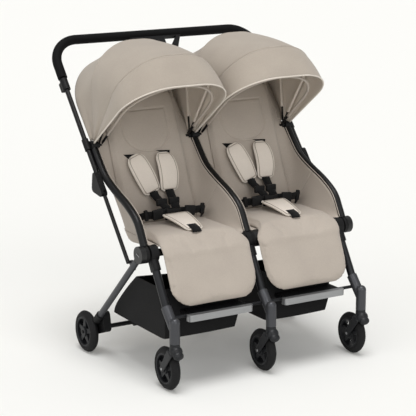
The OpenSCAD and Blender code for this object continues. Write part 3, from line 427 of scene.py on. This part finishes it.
def tube_along(name, points, radius, material, body, sides=16):
    """A round bar swept along points in metres."""
    line = bpy.data.curves.new(name, "CURVE")
    line.dimensions = "3D"
    line.bevel_depth = radius
    line.bevel_resolution = sides // 4
    line.use_fill_caps = True
    spline = line.splines.new("POLY")
    spline.points.add(len(points) - 1)
    for spot, p in zip(spline.points, points):
        spot.co = (*p, 1.0)
    holder = bpy.data.objects.new(name + "_line", line)
    scene.collection.objects.link(holder)
    mesh = applied(holder)
    bpy.data.objects.remove(holder)
    shape = bmesh.new()
    shape.from_mesh(mesh)
    bpy.data.meshes.remove(mesh)
    piece = finish_piece(shape, name, material)
    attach(piece, body)
    return piece


for side, x in (("left", -side_x), ("middle", 0.0), ("right", side_x)):
    points = [(x, *curve_at(side_line, i / 60)) for i in range(61)]
    tube = tube_along(side + "_side_bar", points, side_radius, black_coat, "upper_frame")
    eye = bmesh.new()
    bmesh.ops.create_cone(eye, cap_ends=True, segments=48, radius1=eye_radius, radius2=eye_radius, depth=eye_thick)
    round_edges(eye, [edge for edge in eye.edges if edge.calc_face_angle(0) > 1.0], 0.0015, 2)
    turn(eye, eye.verts, 90, "Y")
    bmesh.ops.translate(eye, vec=(x, hub_y, hub_z), verts=eye.verts)
    eye_piece = finish_piece(eye, side + "_side_eye", nylon, smooth=False)
    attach(eye_piece, "upper_frame")
    if x:
        bright_bar = bmesh.new()
        bmesh.ops.create_cube(bright_bar, size=1.0)
        bmesh.ops.scale(bright_bar, vec=(0.0006, 0.017, 0.003), verts=bright_bar.verts)
        round_edges(bright_bar, list(bright_bar.edges), 0.0002, 1)
        turn(bright_bar, bright_bar.verts, 24, "X")
        bmesh.ops.translate(bright_bar, vec=(math.copysign(bright_bar_x, x), hub_y, hub_z), verts=bright_bar.verts)
        bright_bar_piece = finish_piece(bright_bar, side + "_hub_bright_bar", anodised, smooth=False)
        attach(bright_bar_piece, "rear_frame")
    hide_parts(side + "_side_tube")

# Seat and calf pads
# One cover over foam: the seat runs forward, rolls over the front edge and hangs down as the calf pad, sewn all round.
# The cover is a woven polyester melange, matte taupe with paler slubs. Its plain weave is drawn at 3 mm where the
# real one is under 1 mm, so that it shows.


def woven(name, low, high, weave_m=0.003, bump=0.12, sheen=0.15):
    """Woven cloth between two tones, with slubs, a broad change of shade and a plain weave of this spacing."""
    made, tree, shader, place = new_material(name)
    slub = add_node(tree, "ShaderNodeTexNoise", {"Scale": scale_for(0.003), "Detail": 4.0}, {"Vector": place})
    shade = add_node(tree, "ShaderNodeTexNoise", {"Scale": scale_for(0.09), "Detail": 3.0}, {"Vector": place})
    mixed = add_node(tree, "ShaderNodeMath", links={0: slub.outputs["Fac"], 1: shade.outputs["Fac"]}, operation="ADD")
    half = add_node(tree, "ShaderNodeMath", {1: 0.5}, {0: mixed.outputs[0]}, operation="MULTIPLY")
    tone = add_node(tree, "ShaderNodeValToRGB", links={0: half.outputs[0]})
    tone.color_ramp.elements[0].position = 0.3
    tone.color_ramp.elements[1].position = 0.7
    set_tones(tone, low, high)
    bands = 2 * math.pi / (20 * weave_m)
    warp = add_node(tree, "ShaderNodeTexWave", {"Scale": bands, "Distortion": 0.4}, {"Vector": place},
                    bands_direction="X")
    tilted = add_node(tree, "ShaderNodeMapping", {"Rotation": (math.radians(45), 0, 0)}, {"Vector": place})
    weft = add_node(tree, "ShaderNodeTexWave", {"Scale": bands * 1.2, "Distortion": 0.4},
                    {"Vector": tilted.outputs[0]}, bands_direction="Z")
    cross = add_node(tree, "ShaderNodeMath", links={0: warp.outputs["Fac"], 1: weft.outputs["Fac"]},
                     operation="MAXIMUM")
    relief = add_node(tree, "ShaderNodeBump", {"Strength": bump, "Distance": 0.0005}, {"Height": cross.outputs[0]})
    set_inputs(tree, shader, {"Roughness": 0.9, "Sheen Weight": sheen, "Sheen Roughness": 0.6,
                              "Specular IOR Level": 0.25},
               {"Base Color": tone.outputs[0], "Normal": relief.outputs[0]})
    return made


taupe = woven("taupe_woven_polyester", "#A89E94", "#B4AA9F")
seat_x = 0.177
seat_side = [(0.006, 0.4125), (-0.030, 0.4155), (-0.090, 0.4175), (-0.150, 0.4180), (-0.195, 0.4175), (-0.224, 0.4135),
             (-0.2425, 0.4020), (-0.2525, 0.3860), (-0.2600, 0.3660), (-0.2729, 0.3340), (-0.2879, 0.2970),
             (-0.3015, 0.2635), (-0.3120, 0.2375)]
seat_swell = 0.006
run_frames = 20


def grid_mesh(across, along, place_at):
    """A grid whose corners run from 0 to 1 both ways, put in place by a function of both."""
    mesh = bmesh.new()
    bmesh.ops.create_grid(mesh, x_segments=across, y_segments=along, size=0.5, calc_uvs=True)
    for v in mesh.verts:
        v.co = Vector(place_at(v.co.x + 0.5, v.co.y + 0.5))
    return mesh


def eased(t):
    """0 to 1 with close spacing at both ends, so that rounded edges get more points."""
    return (1 - math.cos(math.pi * t)) / 2


def lens(edge):
    """Height from 0 at the edges of a pad to 1 over most of its middle."""
    return max(0.0, 1 - abs(2 * edge - 1) ** 5) ** 0.5


def make_pad(name, middle, thick, material, across, along):
    """A closed pad: two grids that share their edge, raised from a middle surface along its normal."""
    step = 1e-3
    sides = []
    for sign in (1, -1):
        def place_at(a, b, sign=sign):
            u, v = eased(a), eased(b)
            p = Vector(middle(u, v))
            du = Vector(middle(min(u + step, 1), v)) - Vector(middle(max(u - step, 0), v))
            dv = Vector(middle(u, min(v + step, 1))) - Vector(middle(u, max(v - step, 0)))
            n = du.cross(dv)
            n = n.normalized() if n.length > 1e-12 else Vector((0, 0, 1))
            height = thick(u, v) * lens(u) * lens(v)
            return p + n * height * sign
        sides.append(grid_mesh(across, along, place_at))
    top, under = sides
    spare = bpy.data.meshes.new("spare")
    under.to_mesh(spare)
    under.free()
    top.from_mesh(spare)
    bpy.data.meshes.remove(spare)
    return finish_piece(top, name, material)


def swell(piece, cap):
    """Blows a pad up inside its cover with a cloth run, no point moving further than cap, then smooths it."""
    drawn = piece.data
    remesh = piece.modifiers.new("remesh", "REMESH")
    remesh.mode = "VOXEL"
    remesh.voxel_size = 0.004
    fine = applied(piece)
    piece.modifiers.clear()
    piece.data = fine
    bpy.data.meshes.remove(drawn)
    rest = [v.co.copy() for v in fine.vertices]
    run = piece.modifiers.new("run", "CLOTH")
    run.settings.use_pressure = True
    run.settings.uniform_pressure_force = 4.0
    run.settings.effector_weights.gravity = 0.0
    run.settings.quality = 6
    run.settings.tension_stiffness = 20
    run.settings.compression_stiffness = 20
    for k in range(1, run_frames + 1):
        scene.frame_set(k)
    after = piece.evaluated_get(bpy.context.evaluated_depsgraph_get()).to_mesh()
    moved = [v.co.copy() for v in after.vertices]
    piece.modifiers.clear()
    scene.frame_set(1)
    for v, start, end in zip(fine.vertices, rest, moved):
        step = end - start
        v.co = start + step * min(1.0, cap / max(step.length, 1e-9))
    for face in fine.polygons:
        face.use_smooth = True
    even = piece.modifiers.new("even", "SMOOTH")
    even.factor = 0.5
    even.iterations = 2
    finer = piece.modifiers.new("finer", "SUBSURF")
    finer.levels = 1
    finer.render_levels = 1
    done = applied(piece)
    piece.modifiers.clear()
    piece.data = done
    bpy.data.meshes.remove(fine)


def mirrored(piece, name):
    """The same pad for the other seat, turned over the middle of the stroller."""
    shape = bmesh.new()
    shape.from_mesh(piece.data)
    bmesh.ops.scale(shape, vec=(-1, 1, 1), verts=shape.verts)
    return finish_piece(shape, name, piece.data.materials[0])


def seat_middle(u, v):
    """The seat's middle surface: wider over the front edge and round at the lower corners."""
    y, z = curve_at(seat_side, v)
    fore = min(max((v - 0.30) / 0.25, 0), 1)
    fore = fore * fore * (3 - 2 * fore)
    half = 0.1395 + 0.0150 * fore
    drop = min(max((0.312 - z) / 0.0748, 0), 1) if v > 0.6 else 0.0
    half -= 0.070 * (1 - math.sqrt(max(0.0, 1 - drop ** 2.2)))
    return (-seat_x + 0.0115 * fore + (2 * u - 1) * half, y, z)


def seat_thick(u, v):
    """Half the pad's thickness, less on the calf pad."""
    return 0.0150 - 0.0045 * min(max((v - 0.45) / 0.2, 0), 1)


left_seat = make_pad("left_seat_cushion", seat_middle, seat_thick, taupe, 40, 80)
swell(left_seat, seat_swell)
for side, pad in (("left", left_seat), ("right", mirrored(left_seat, "right_seat_cushion"))):
    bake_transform(pad)
    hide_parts(side + "_seat_pad", side + "_calf_pad")

# Backrests
# A foam panel in the same cover, with a seam across at the head and a sewn head pocket below it.
lean = math.radians(23)
up_back = Vector((0, math.sin(lean), math.cos(lean)))
off_back = Vector((0, -math.cos(lean), math.sin(lean)))
back_root = Vector((0, -0.002, 0.408))
back_swell = 0.005
head_seam, pocket_low = 0.368, 0.305
pocket_half, pocket_dip = 0.080, 0.0026
seam_wide = 0.0032


def seam_dip(distance, depth):
    """How far a sewn line pulls the cover in at a distance from it."""
    return -depth * math.exp(-(distance / seam_wide) ** 2)


def back_middle(u, v):
    """The back's middle surface, round at the top corners."""
    d = 0.004 + 0.444 * v
    half = 0.1335
    if d > 0.388:
        half -= 0.060 * (1 - math.sqrt(max(0.0, 1 - ((d - 0.388) / 0.0601) ** 2)))
    p = back_root + up_back * d
    return (-seat_x + (2 * u - 1) * half, p.y, p.z)


def back_seams(x, d):
    """The sewn lines of the head pocket, by distance from the middle and height up the back."""
    x = abs(x)
    dip = 0.0
    if x < 0.082 and d > 0.29:
        dip = min(dip, seam_dip(d - head_seam, 0.0030))
    if pocket_low < d < head_seam:
        dip = min(dip, seam_dip(x - pocket_half, pocket_dip))
    if 0.2 < d <= pocket_low:
        dip = min(dip, seam_dip(math.hypot(x, (d - pocket_low) * 1.15) - pocket_half, pocket_dip))
    return dip


left_back = make_pad("left_back_cushion", back_middle, lambda u, v: 0.0155, taupe, 72, 120)
swell(left_back, back_swell)
for v in left_back.data.vertices:
    from_root = v.co - back_root
    if from_root.dot(off_back) > 0.004:
        v.co += off_back * back_seams(v.co.x + seat_x, from_root.dot(up_back))
for side, pad in (("left", left_back), ("right", mirrored(left_back, "right_back_cushion"))):
    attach(pad, side + "_backrest")
    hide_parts(side + "_back_pad")

# Seat sides
# Cloth walls sewn to the seat and back and held along the side tubes by a piped hem, in two panels on each side.
# The lower one stays with the frame and the upper one runs up beside the backrest. A skirt hangs below each seat edge.
seat_edge = [(-0.224, 0.4120), (-0.160, 0.4120), (-0.100, 0.4115), (-0.050, 0.4115), (-0.002, 0.4120)]
back_edge = [(-0.002, 0.412), (0.020, 0.456), (0.057, 0.542), (0.097, 0.638), (0.135, 0.728), (0.172, 0.815)]
tube_low = [tuple(curve_at(side_line, 0.03 + 0.49 * i / 10)) for i in range(11)]
tube_high = [tuple(curve_at(side_line, 0.52 + 0.46 * i / 8)) for i in range(9)]
tube_high += [(0.128, 0.686), (0.156, 0.722), (0.186, 0.762), (0.212, 0.800)]
wall_thick, wall_belly = 0.003, 0.004


def thicken(piece, thickness):
    """Gives a sheet its thickness, half on each side, and returns its area."""
    solid = piece.modifiers.new("thickness", "SOLIDIFY")
    solid.thickness = thickness
    solid.offset = 0
    return sum(face.area for face in piece.data.polygons)


def wall(name, outer, inner, x_out, x_in, draw_in=0.0):
    """A wall from the line along the tube to the seam at the pad, drawn in at its end, with its area."""
    def place_at(u, v):
        p = curve_at(outer, v).lerp(curve_at(inner, v), u)
        x_hem = x_out + draw_in * max(0.0, (v - 0.55) / 0.45) ** 2
        x = x_hem + (x_in[0] + (x_in[1] - x_in[0]) * v - x_hem) * (u ** 1.5)
        sag = wall_belly * math.sin(math.pi * u) * math.sin(math.pi * v)
        return (x, p.x + sag * 0.6, p.y - sag)
    piece = finish_piece(grid_mesh(16, 44, place_at), name, taupe)
    return piece, thicken(piece, wall_thick)


def skirt_depth(u):
    """How far the cloth edge hangs below the seat, from the front to its rounded rear end."""
    return (0.010 + 0.024 * u) * math.sqrt(max(0.0, 1 - max(0.0, (u - 0.72) / 0.29) ** 2))


for side, s in (("left", -1), ("right", 1)):
    for edge, e in (("outer", s), ("inner", -s)):
        x_mid = s * seat_x
        x_hem = x_mid + e * 0.1650
        low, low_area = wall(f"{side}_{edge}_seat_wall", tube_low, seat_edge, x_hem,
                             (x_mid + e * 0.137, x_mid + e * 0.127))
        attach(low, "upper_frame")
        high, high_area = wall(f"{side}_{edge}_back_wall", tube_high, back_edge, x_hem,
                               (x_mid + e * 0.127, x_mid + e * 0.122), -e * 0.020)
        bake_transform(high)
        if edge == "outer":
            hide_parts(f"{side}_seat_wings")

        def skirt_at(u, v, x_mid=x_mid, e=e):
            return (x_mid + e * (0.139 - 0.004 * v - 0.009 * u), -0.214 + 0.212 * u, 0.414 - skirt_depth(u) * v)
        skirt = finish_piece(grid_mesh(12, 6, skirt_at), f"{side}_{edge}_seat_skirt", taupe)
        skirt_area = thicken(skirt, wall_thick)
        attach(skirt, "chassis")
        seam = []
        for i in range(41):
            p = curve_at(back_edge, i / 40) + Vector((-0.006, 0.001))
            seam.append((x_mid + e * (0.129 - 0.005 * i / 40), p.x, p.y))
        seam_piece = tube_along(f"{side}_{edge}_back_seam", seam, 0.0015, taupe, side + "_backrest", sides=8)
        hem = []
        for i in range(61):
            t = 0.03 + 0.95 * i / 60
            a, b = curve_at(side_line, max(t - 0.02, 0)), curve_at(side_line, min(t + 0.02, 1))
            out = Vector((a.y - b.y, b.x - a.x)).normalized()
            p = curve_at(side_line, t) + out * 0.006
            hem.append((x_mid + e * 0.1655, p.x, p.y))
        hem_piece = tube_along(f"{side}_{edge}_hem_piping", hem, 0.0014, taupe, "upper_frame", sides=8)

# Canopies
# A taupe polyester hood over the rear and middle bows, a rear curtain down to the backrest, and a visor sewn on along
# the middle bow, with pale piping round its edge. The outer cloth is painted darker as shade, and the inner side paler
# as light that shines through the cloth.
# The bows run in cloth sleeves, and moulded prongs hold their ends at the hinge.
# Painted shade: the hood's outer cloth is the seat's taupe in darker tones.
canopy_cloth_in_painted_shade = woven("taupe_canopy_polyester_in_painted_shade", "#A1978C", "#ADA397")
# Painted light: the inner side is paler to stand for the light that shines through the hood.
lining_with_painted_light = woven("lining_polyester_with_painted_light", "#CABFB2", "#D6CCC0", bump=0.08)
pale_cloth = woven("pale_padded_weave", "#D6CCC1", "#E1D8CD")
piping_cloth = woven("pale_piping", "#CEC6BB", "#DAD2C8", weave_m=0.002, bump=0.1)
hinge_y, hinge_z = 0.110, 0.660
low_hoop, rear_hoop = (132, 0.3150, 0.176, 0.180, 0.1675), (97, 0.3110, 0.152, 0.170, 0.1675)
back_hoop = (118, 0.1500, 0.100, 0.150, 0.1500)
mid_hoop, visor_hoop = (55, 0.3530, 0.152, 0.172, 0.1700), (36.4, 0.3490, 0.137, 0.180, 0.1752)
rear_bow, middle_bow = (97, 0.308, 0.150, 0.1637, 0.1637), (55, 0.350, 0.150, 0.1594, 0.1594)
front_bow = (39.5, 0.316, 0.146, 0.1510, 0.1510)
cloth_foot, sleeve_foot = 0.018, 0.060
canopy_thick = 0.002
rear_share = 0.4
welt_points = 90
sleeve_radius, prong_radius, prong_flatness = 0.0042, 0.0048, 0.65


def hoop_point(t, reach, corner, sides, start):
    """A point on a bow's outline, from one foot at t 0 over the top to the other at t 1, with a half width per side."""
    way = -1 if t < 0.5 else 1
    half = sides[0] if t < 0.5 else sides[1]
    corner = min(corner, half)
    leg, arc, top = reach - corner - start, math.pi / 2 * corner, half - corner
    s = (1 - abs(2 * t - 1)) * (leg + arc + top)
    if s < leg:
        return way * half, start + s
    s -= leg
    if s < arc:
        return way * (half - corner + corner * math.cos(s / corner)), reach - corner + corner * math.sin(s / corner)
    return way * (half - corner - (s - arc)), reach


def on_hood(x_mid, t, hoop, grow=0.0, start=cloth_foot):
    """A point on a hoop, which is its angle above straight ahead, reach, corner radius and two half widths."""
    angle, reach, corner, outer, inner = hoop
    sides = (outer + grow, inner + grow) if x_mid < 0 else (inner + grow, outer + grow)
    x, r = hoop_point(t, reach + grow, corner + grow, sides, start)
    a = math.radians(angle)
    return Vector((x_mid + x, hinge_y - r * math.cos(a), hinge_z + r * math.sin(a)))


def between(x_mid, u, v, first, second, puff):
    """A point on the cloth between two hoops, puffed out a little, with soft folds where it gathers at the hinge."""
    p = on_hood(x_mid, u, first).lerp(on_hood(x_mid, u, second), v)
    away = Vector((p.x - x_mid, p.y - hinge_y, p.z - hinge_z - 0.06)).normalized()
    foot = max(0.0, 1 - 4.5 * min(u, 1 - u)) ** 2
    return p + away * (puff * math.sin(math.pi * v) + 0.0022 * math.sin(v * math.pi * 4) * foot)


def cloth_piece(name, shape):
    """A panel of the canopy, its outer cloth in painted shade and its paler inner side in painted light, with its area.
    """
    piece = finish_piece(shape, name, canopy_cloth_in_painted_shade)
    area = thicken(piece, canopy_thick)
    piece.data.materials.append(lining_with_painted_light)
    piece.modifiers["thickness"].material_offset = 1
    return piece, area


def crest(x_mid, hoop):
    """The top of a hoop."""
    return on_hood(x_mid, 0.5, hoop)


for side, s in (("left", -1), ("right", 1)):
    x_mid = s * seat_x

    def hood_at(u, v, x_mid=x_mid):
        if v < rear_share:
            return between(x_mid, u, v / rear_share, low_hoop, rear_hoop, -0.004)
        return between(x_mid, u, (v - rear_share) / (1 - rear_share), rear_hoop, mid_hoop, 0.006)
    hood, area = cloth_piece(f"{side}_canopy_hood", grid_mesh(84, 50, hood_at))

    def curtain_at(u, v, x_mid=x_mid):
        return on_hood(x_mid, u, back_hoop).lerp(on_hood(x_mid, u, low_hoop), v)
    curtain, curtain_area = cloth_piece(f"{side}_canopy_curtain", grid_mesh(60, 14, curtain_at))
    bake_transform(curtain)
    back, fore = crest(x_mid, rear_hoop), crest(x_mid, mid_hoop)
    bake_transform(hood)
    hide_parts(side + "_canopy_cover")

    def visor_at(u, v, x_mid=x_mid):
        return between(x_mid, u, v, mid_hoop, visor_hoop, 0.004)
    visor, area = cloth_piece(f"{side}_canopy_visor", grid_mesh(84, 16, visor_at))
    back, fore = crest(x_mid, mid_hoop), crest(x_mid, visor_hoop)
    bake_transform(visor)
    for label, hoop, radius, body, finish in (
            ("rear_welt", rear_hoop, 0.0013, "upper_frame", canopy_cloth_in_painted_shade),
            ("middle_welt", mid_hoop, 0.0013, side + "_canopy_mid", canopy_cloth_in_painted_shade),
            ("visor_piping", visor_hoop, 0.0024, side + "_canopy_front", piping_cloth)):
        line = [on_hood(x_mid, i / welt_points, hoop, 0.0006) for i in range(welt_points + 1)]
        welt = tube_along(f"{side}_{label}", line, radius, finish, body, sides=12)
    for label, hoop, body, finish in (("rear", rear_bow, "upper_frame", pale_cloth),
                                      ("middle", middle_bow, side + "_canopy_mid", pale_cloth),
                                      ("front", front_bow, side + "_canopy_front", taupe)):
        line = [on_hood(x_mid, i / welt_points, hoop, start=sleeve_foot) for i in range(welt_points + 1)]
        sleeve = tube_along(f"{side}_{label}_bow_sleeve", line, sleeve_radius, finish, body, sides=12)
        if label == "front":
            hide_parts(side + "_front_bow")
        for which, t in (("left", 0.0), ("right", 1.0)):
            line = [on_hood(x_mid, t, hoop, start=r) for r in (0.012, 0.024, 0.036, 0.048, 0.062)]
            prong = tube_along(f"{side}_{label}_{which}_prong", line, prong_radius, nylon, body, sides=12)
            for v in prong.data.vertices:
                v.co.x += (line[0].x - v.co.x) * prong_flatness

# Harness
# Padded shoulder straps in a pale weave, edged with piping and a dark line inside it that paints both the stitching
# and the shade in the groove by the piping, on black nylon webbing.
# A waist strap with moulded sliders and a wide padded crotch strap meet them at the buckle.
# Painted shade: this dark line stands for the stitches and for the shade in the groove beside the piping.
stitching_and_groove_shade = woven("dark_stitching_and_painted_groove_shade", "#857B70", "#91877C", weave_m=0.002, bump=0.1)
webbing = woven("black_nylon_webbing", "#070708", "#0D0D0E", bump=0.4, sheen=0.03)
web_thick, slot_web_thick = 0.0022, 0.003
strap_top, strap_run, strap_length = 0.2235, 0.119, 0.124
strap_half_thick, crotch_half_thick, crotch_length = 0.0075, 0.0060, 0.126
across_seat = (1, 0, 0)


def rounded_end(near, reach, depth):
    """How far a pad's side draws in near its rounded end: by depth at the end and by nothing beyond reach."""
    return depth * (1 - math.sqrt(max(0.0, 1 - max(0.0, 1 - near / reach) ** 2)))


def edge_line(middle, inset, lift):
    """A line round a pad, a share of its width in from the edge of its middle surface and lifted off it."""
    n = 24
    ring = [(i / n, 0.0) for i in range(n)] + [(1.0, i / n) for i in range(n)]
    ring += [(1 - i / n, 1.0) for i in range(n)] + [(0.0, 1 - i / n) for i in range(n)] + [(0.0, 0.0)]
    line = []
    for u, v in ring:
        u, v = 0.5 + (u - 0.5) * (1 - 2 * inset), 0.5 + (v - 0.5) * (1 - inset)
        p = Vector(middle(u, v))
        du = Vector(middle(min(u + 0.01, 1), v)) - p if u < 0.99 else p - Vector(middle(u - 0.01, v))
        dv = Vector(middle(u, min(v + 0.01, 1))) - p if v < 0.99 else p - Vector(middle(u, v - 0.01))
        line.append(p + du.cross(dv).normalized() * lift)
    return line


def trim_pad(name, middle, facing, dark_line_lift, body):
    """Piping round a pad, and a dark line of stitches and painted groove shade inside it, on the middle surface's outer
    side.
    """
    for label, inset, lift, radius, finish in (("piping", 0.0, 0.002, 0.0021, piping_cloth),
                                               ("stitch_and_groove_shade", 0.075, dark_line_lift, 0.0008, stitching_and_groove_shade)):
        rim = tube_along(f"{name}_{label}", edge_line(middle, inset, facing * lift), radius, finish, body, sides=8)


def ribbon(name, points, wide, side_ways, body):
    """A flat band of webbing along points, its width lying along side_ways."""
    band = bmesh.new()
    bmesh.ops.create_grid(band, x_segments=2, y_segments=len(points) - 1, size=0.5)
    flat = Vector(side_ways).normalized()
    for v in band.verts:
        k = round((v.co.y + 0.5) * (len(points) - 1))
        v.co = Vector(points[k]) + flat * (v.co.x * wide)
    piece = finish_piece(band, name, webbing)
    thicken(piece, web_thick)
    if body:
        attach(piece, body)
    return piece


def slider(name, centre, size, degrees):
    """A moulded strap slider: a small rounded block."""
    block = bmesh.new()
    bmesh.ops.create_cube(block, size=1.0)
    bmesh.ops.scale(block, vec=size, verts=block.verts)
    round_edges(block, list(block.edges), min(size) * 0.3, 3)
    turn(block, block.verts, degrees, "Y")
    bmesh.ops.translate(block, vec=centre, verts=block.verts)
    piece = finish_piece(block, name, nylon, smooth=False)
    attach(piece, "upper_frame")


for side, s in (("left", -1), ("right", 1)):
    x_mid = s * seat_x
    for which, e, top_x, low_x, bulge, slot_corners in (
            ("outer", -1, -0.066, -0.025, -0.002, ((-0.094, 0.2325), (-0.046, 0.2290), (-0.072, 0.2080))),
            ("inner", 1, 0.036, 0.032, 0.006, ((0.068, 0.2310), (0.020, 0.2350), (0.062, 0.2120)))):
        def strap_middle(u, v, top_x=top_x, low_x=low_x, bulge=bulge, x_mid=x_mid):
            swing = math.sin(math.pi * v)
            half = 0.0275 + 0.0045 * swing
            half -= rounded_end(v * strap_length, 0.026, 0.016) + rounded_end((1 - v) * strap_length, 0.014, 0.009)
            x = top_x + (low_x - top_x) * v + bulge * swing + (2 * u - 1) * half
            tilt = (2 * u - 1) * half * (top_x - low_x) / strap_run
            p = back_root + up_back * (strap_top - strap_run * v - tilt) + off_back * (0.029 + 0.007 * swing)
            return (x_mid + x, p.y, p.z)
        pad = make_pad(f"{side}_{which}_shoulder_pad", strap_middle, lambda u, v: strap_half_thick, pale_cloth, 24, 44)
        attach(pad, side + "_backrest")
        trim_pad(f"{side}_{which}_shoulder", strap_middle, -1, 0.0060, side + "_backrest")
        if which == "outer":
            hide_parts(side + "_shoulder_pads")
        web = bmesh.new()
        corners = [web.verts.new(back_root + up_back * d + off_back * 0.0195 + Vector((x_mid + x, 0, 0)))
                   for x, d in slot_corners]
        bmesh.ops.contextual_create(web, geom=corners)
        web_piece = finish_piece(web, f"{side}_{which}_slot_web", webbing, smooth=False)
        thicken(web_piece, slot_web_thick)
        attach(web_piece, side + "_backrest")
        low = back_root + up_back * 0.110 + off_back * 0.031 + Vector((x_mid + low_x, 0, 0))
        join = [low, low + Vector((e * -0.001, -0.012, -0.014)), (x_mid + e * 0.021, -0.036, 0.492),
                (x_mid + e * 0.0175, -0.053, 0.482), (x_mid + e * 0.015, -0.063, 0.474)]
        strap = ribbon(f"{side}_{which}_buckle_web", join, 0.029, across_seat, None)
        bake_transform(strap)
        slider(f"{side}_{which}_strap_slider", (x_mid + e * 0.0215, -0.037, 0.4935), (0.036, 0.011, 0.022), 0)
        reach = 0.096 + 0.016 * (e > 0)
        waist = [(x_mid + e * out, y, z) for out, y, z in (
            (0.020, -0.066, 0.468), (0.045, -0.071, 0.4670), (0.070, -0.070, 0.4655), (reach, -0.060, 0.4640),
            (reach + 0.016, -0.040, 0.4540), (reach + 0.018, -0.014, 0.4300))]
        ribbon(f"{side}_{which}_waist_web", waist, 0.026, (0, -0.35, 1), "upper_frame")
        slider(f"{side}_{which}_waist_slider", (x_mid + e * 0.056, -0.074, 0.467), (0.036, 0.011, 0.031), e * 6)
        slider(f"{side}_{which}_waist_keeper", (x_mid + e * (reach - 0.006), -0.063, 0.465), (0.012, 0.010, 0.034),
               e * 8)
    crotch_tip = Vector((x_mid, -0.202, 0.4405))
    crotch_top = Vector((x_mid, -0.078, 0.4625))

    def crotch_middle(u, v, tip=crotch_tip, top=crotch_top):
        half = 0.0265 + 0.0185 * v - rounded_end(min(v, 1 - v) * crotch_length, 0.012, 0.008)
        p = tip.lerp(top, v)
        return (p.x + (2 * u - 1) * half, p.y, p.z + 0.003 * math.sin(math.pi * v))
    pad = make_pad(side + "_crotch_cushion", crotch_middle, lambda u, v: crotch_half_thick, pale_cloth, 24, 36)
    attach(pad, "chassis")
    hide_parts(side + "_crotch_pad")
    trim_pad(side + "_crotch", crotch_middle, 1, 0.0050, "chassis")
    tab = [(x_mid, y, z) for y, z in ((-0.172, 0.4525), (-0.186, 0.4500), (-0.200, 0.4470), (-0.209, 0.4420),
                                      (-0.214, 0.4365))]
    ribbon(side + "_crotch_web", tab, 0.030, across_seat, "chassis")

# Baskets
# Black polyester troughs hung between the legs, that sag a little under their own weight.
# The left one's outer side reaches further back, as the photograph shows.
basket_cloth = woven("black_basket_polyester", "#0E0E0F", "#171718", bump=0.25, sheen=0.03)
basket_side = [(-0.260, 0.290), (-0.264, 0.220), (-0.266, 0.150), (-0.258, 0.1385), (-0.20, 0.1370), (-0.10, 0.1370),
               (0.006, 0.1380), (0.018, 0.1440), (-0.004, 0.178), (-0.068, 0.240), (-0.128, 0.290)]
basket_floor, basket_depth, basket_thick = 0.136, 0.154, 0.0025
basket_sag, basket_flare = 0.004, 0.016
for side, x0, x1, longer in (("left", -0.3185, -0.080, 0.034), ("right", 0.0393, 0.252, 0.0)):
    def basket_at(u, v, x0=x0, x1=x1, longer=longer):
        y, z = curve_at(basket_side, v)
        y += longer * max(0.0, 1 - u / 0.6) * min(max((v - 0.45) / 0.15, 0), 1)
        sag = basket_sag * math.sin(math.pi * u)
        rise = min(max((z - basket_floor) / basket_depth, 0), 1)
        return (x0 + (x1 + basket_flare * min(rise * 3, 1) - x0) * u, y + sag * (0.5 - v) * rise,
                z + (0.002 - sag * 0.5) * (1 - rise))
    shell = grid_mesh(24, 60, basket_at)
    for end in (0, 1):
        rim_edges = [e for e in shell.edges if e.is_boundary and abs((e.verts[0].co - e.verts[1].co).x) < 0.004
                     and abs((e.verts[0].co.x - x0) / (x1 - x0) - end) < 0.25]
        bmesh.ops.contextual_create(shell, geom=rim_edges)
    trough = finish_piece(shell, side + "_basket_cloth", basket_cloth, smooth=False)
    area = thicken(trough, basket_thick)
    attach(trough, "chassis")
    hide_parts(side + "_basket")
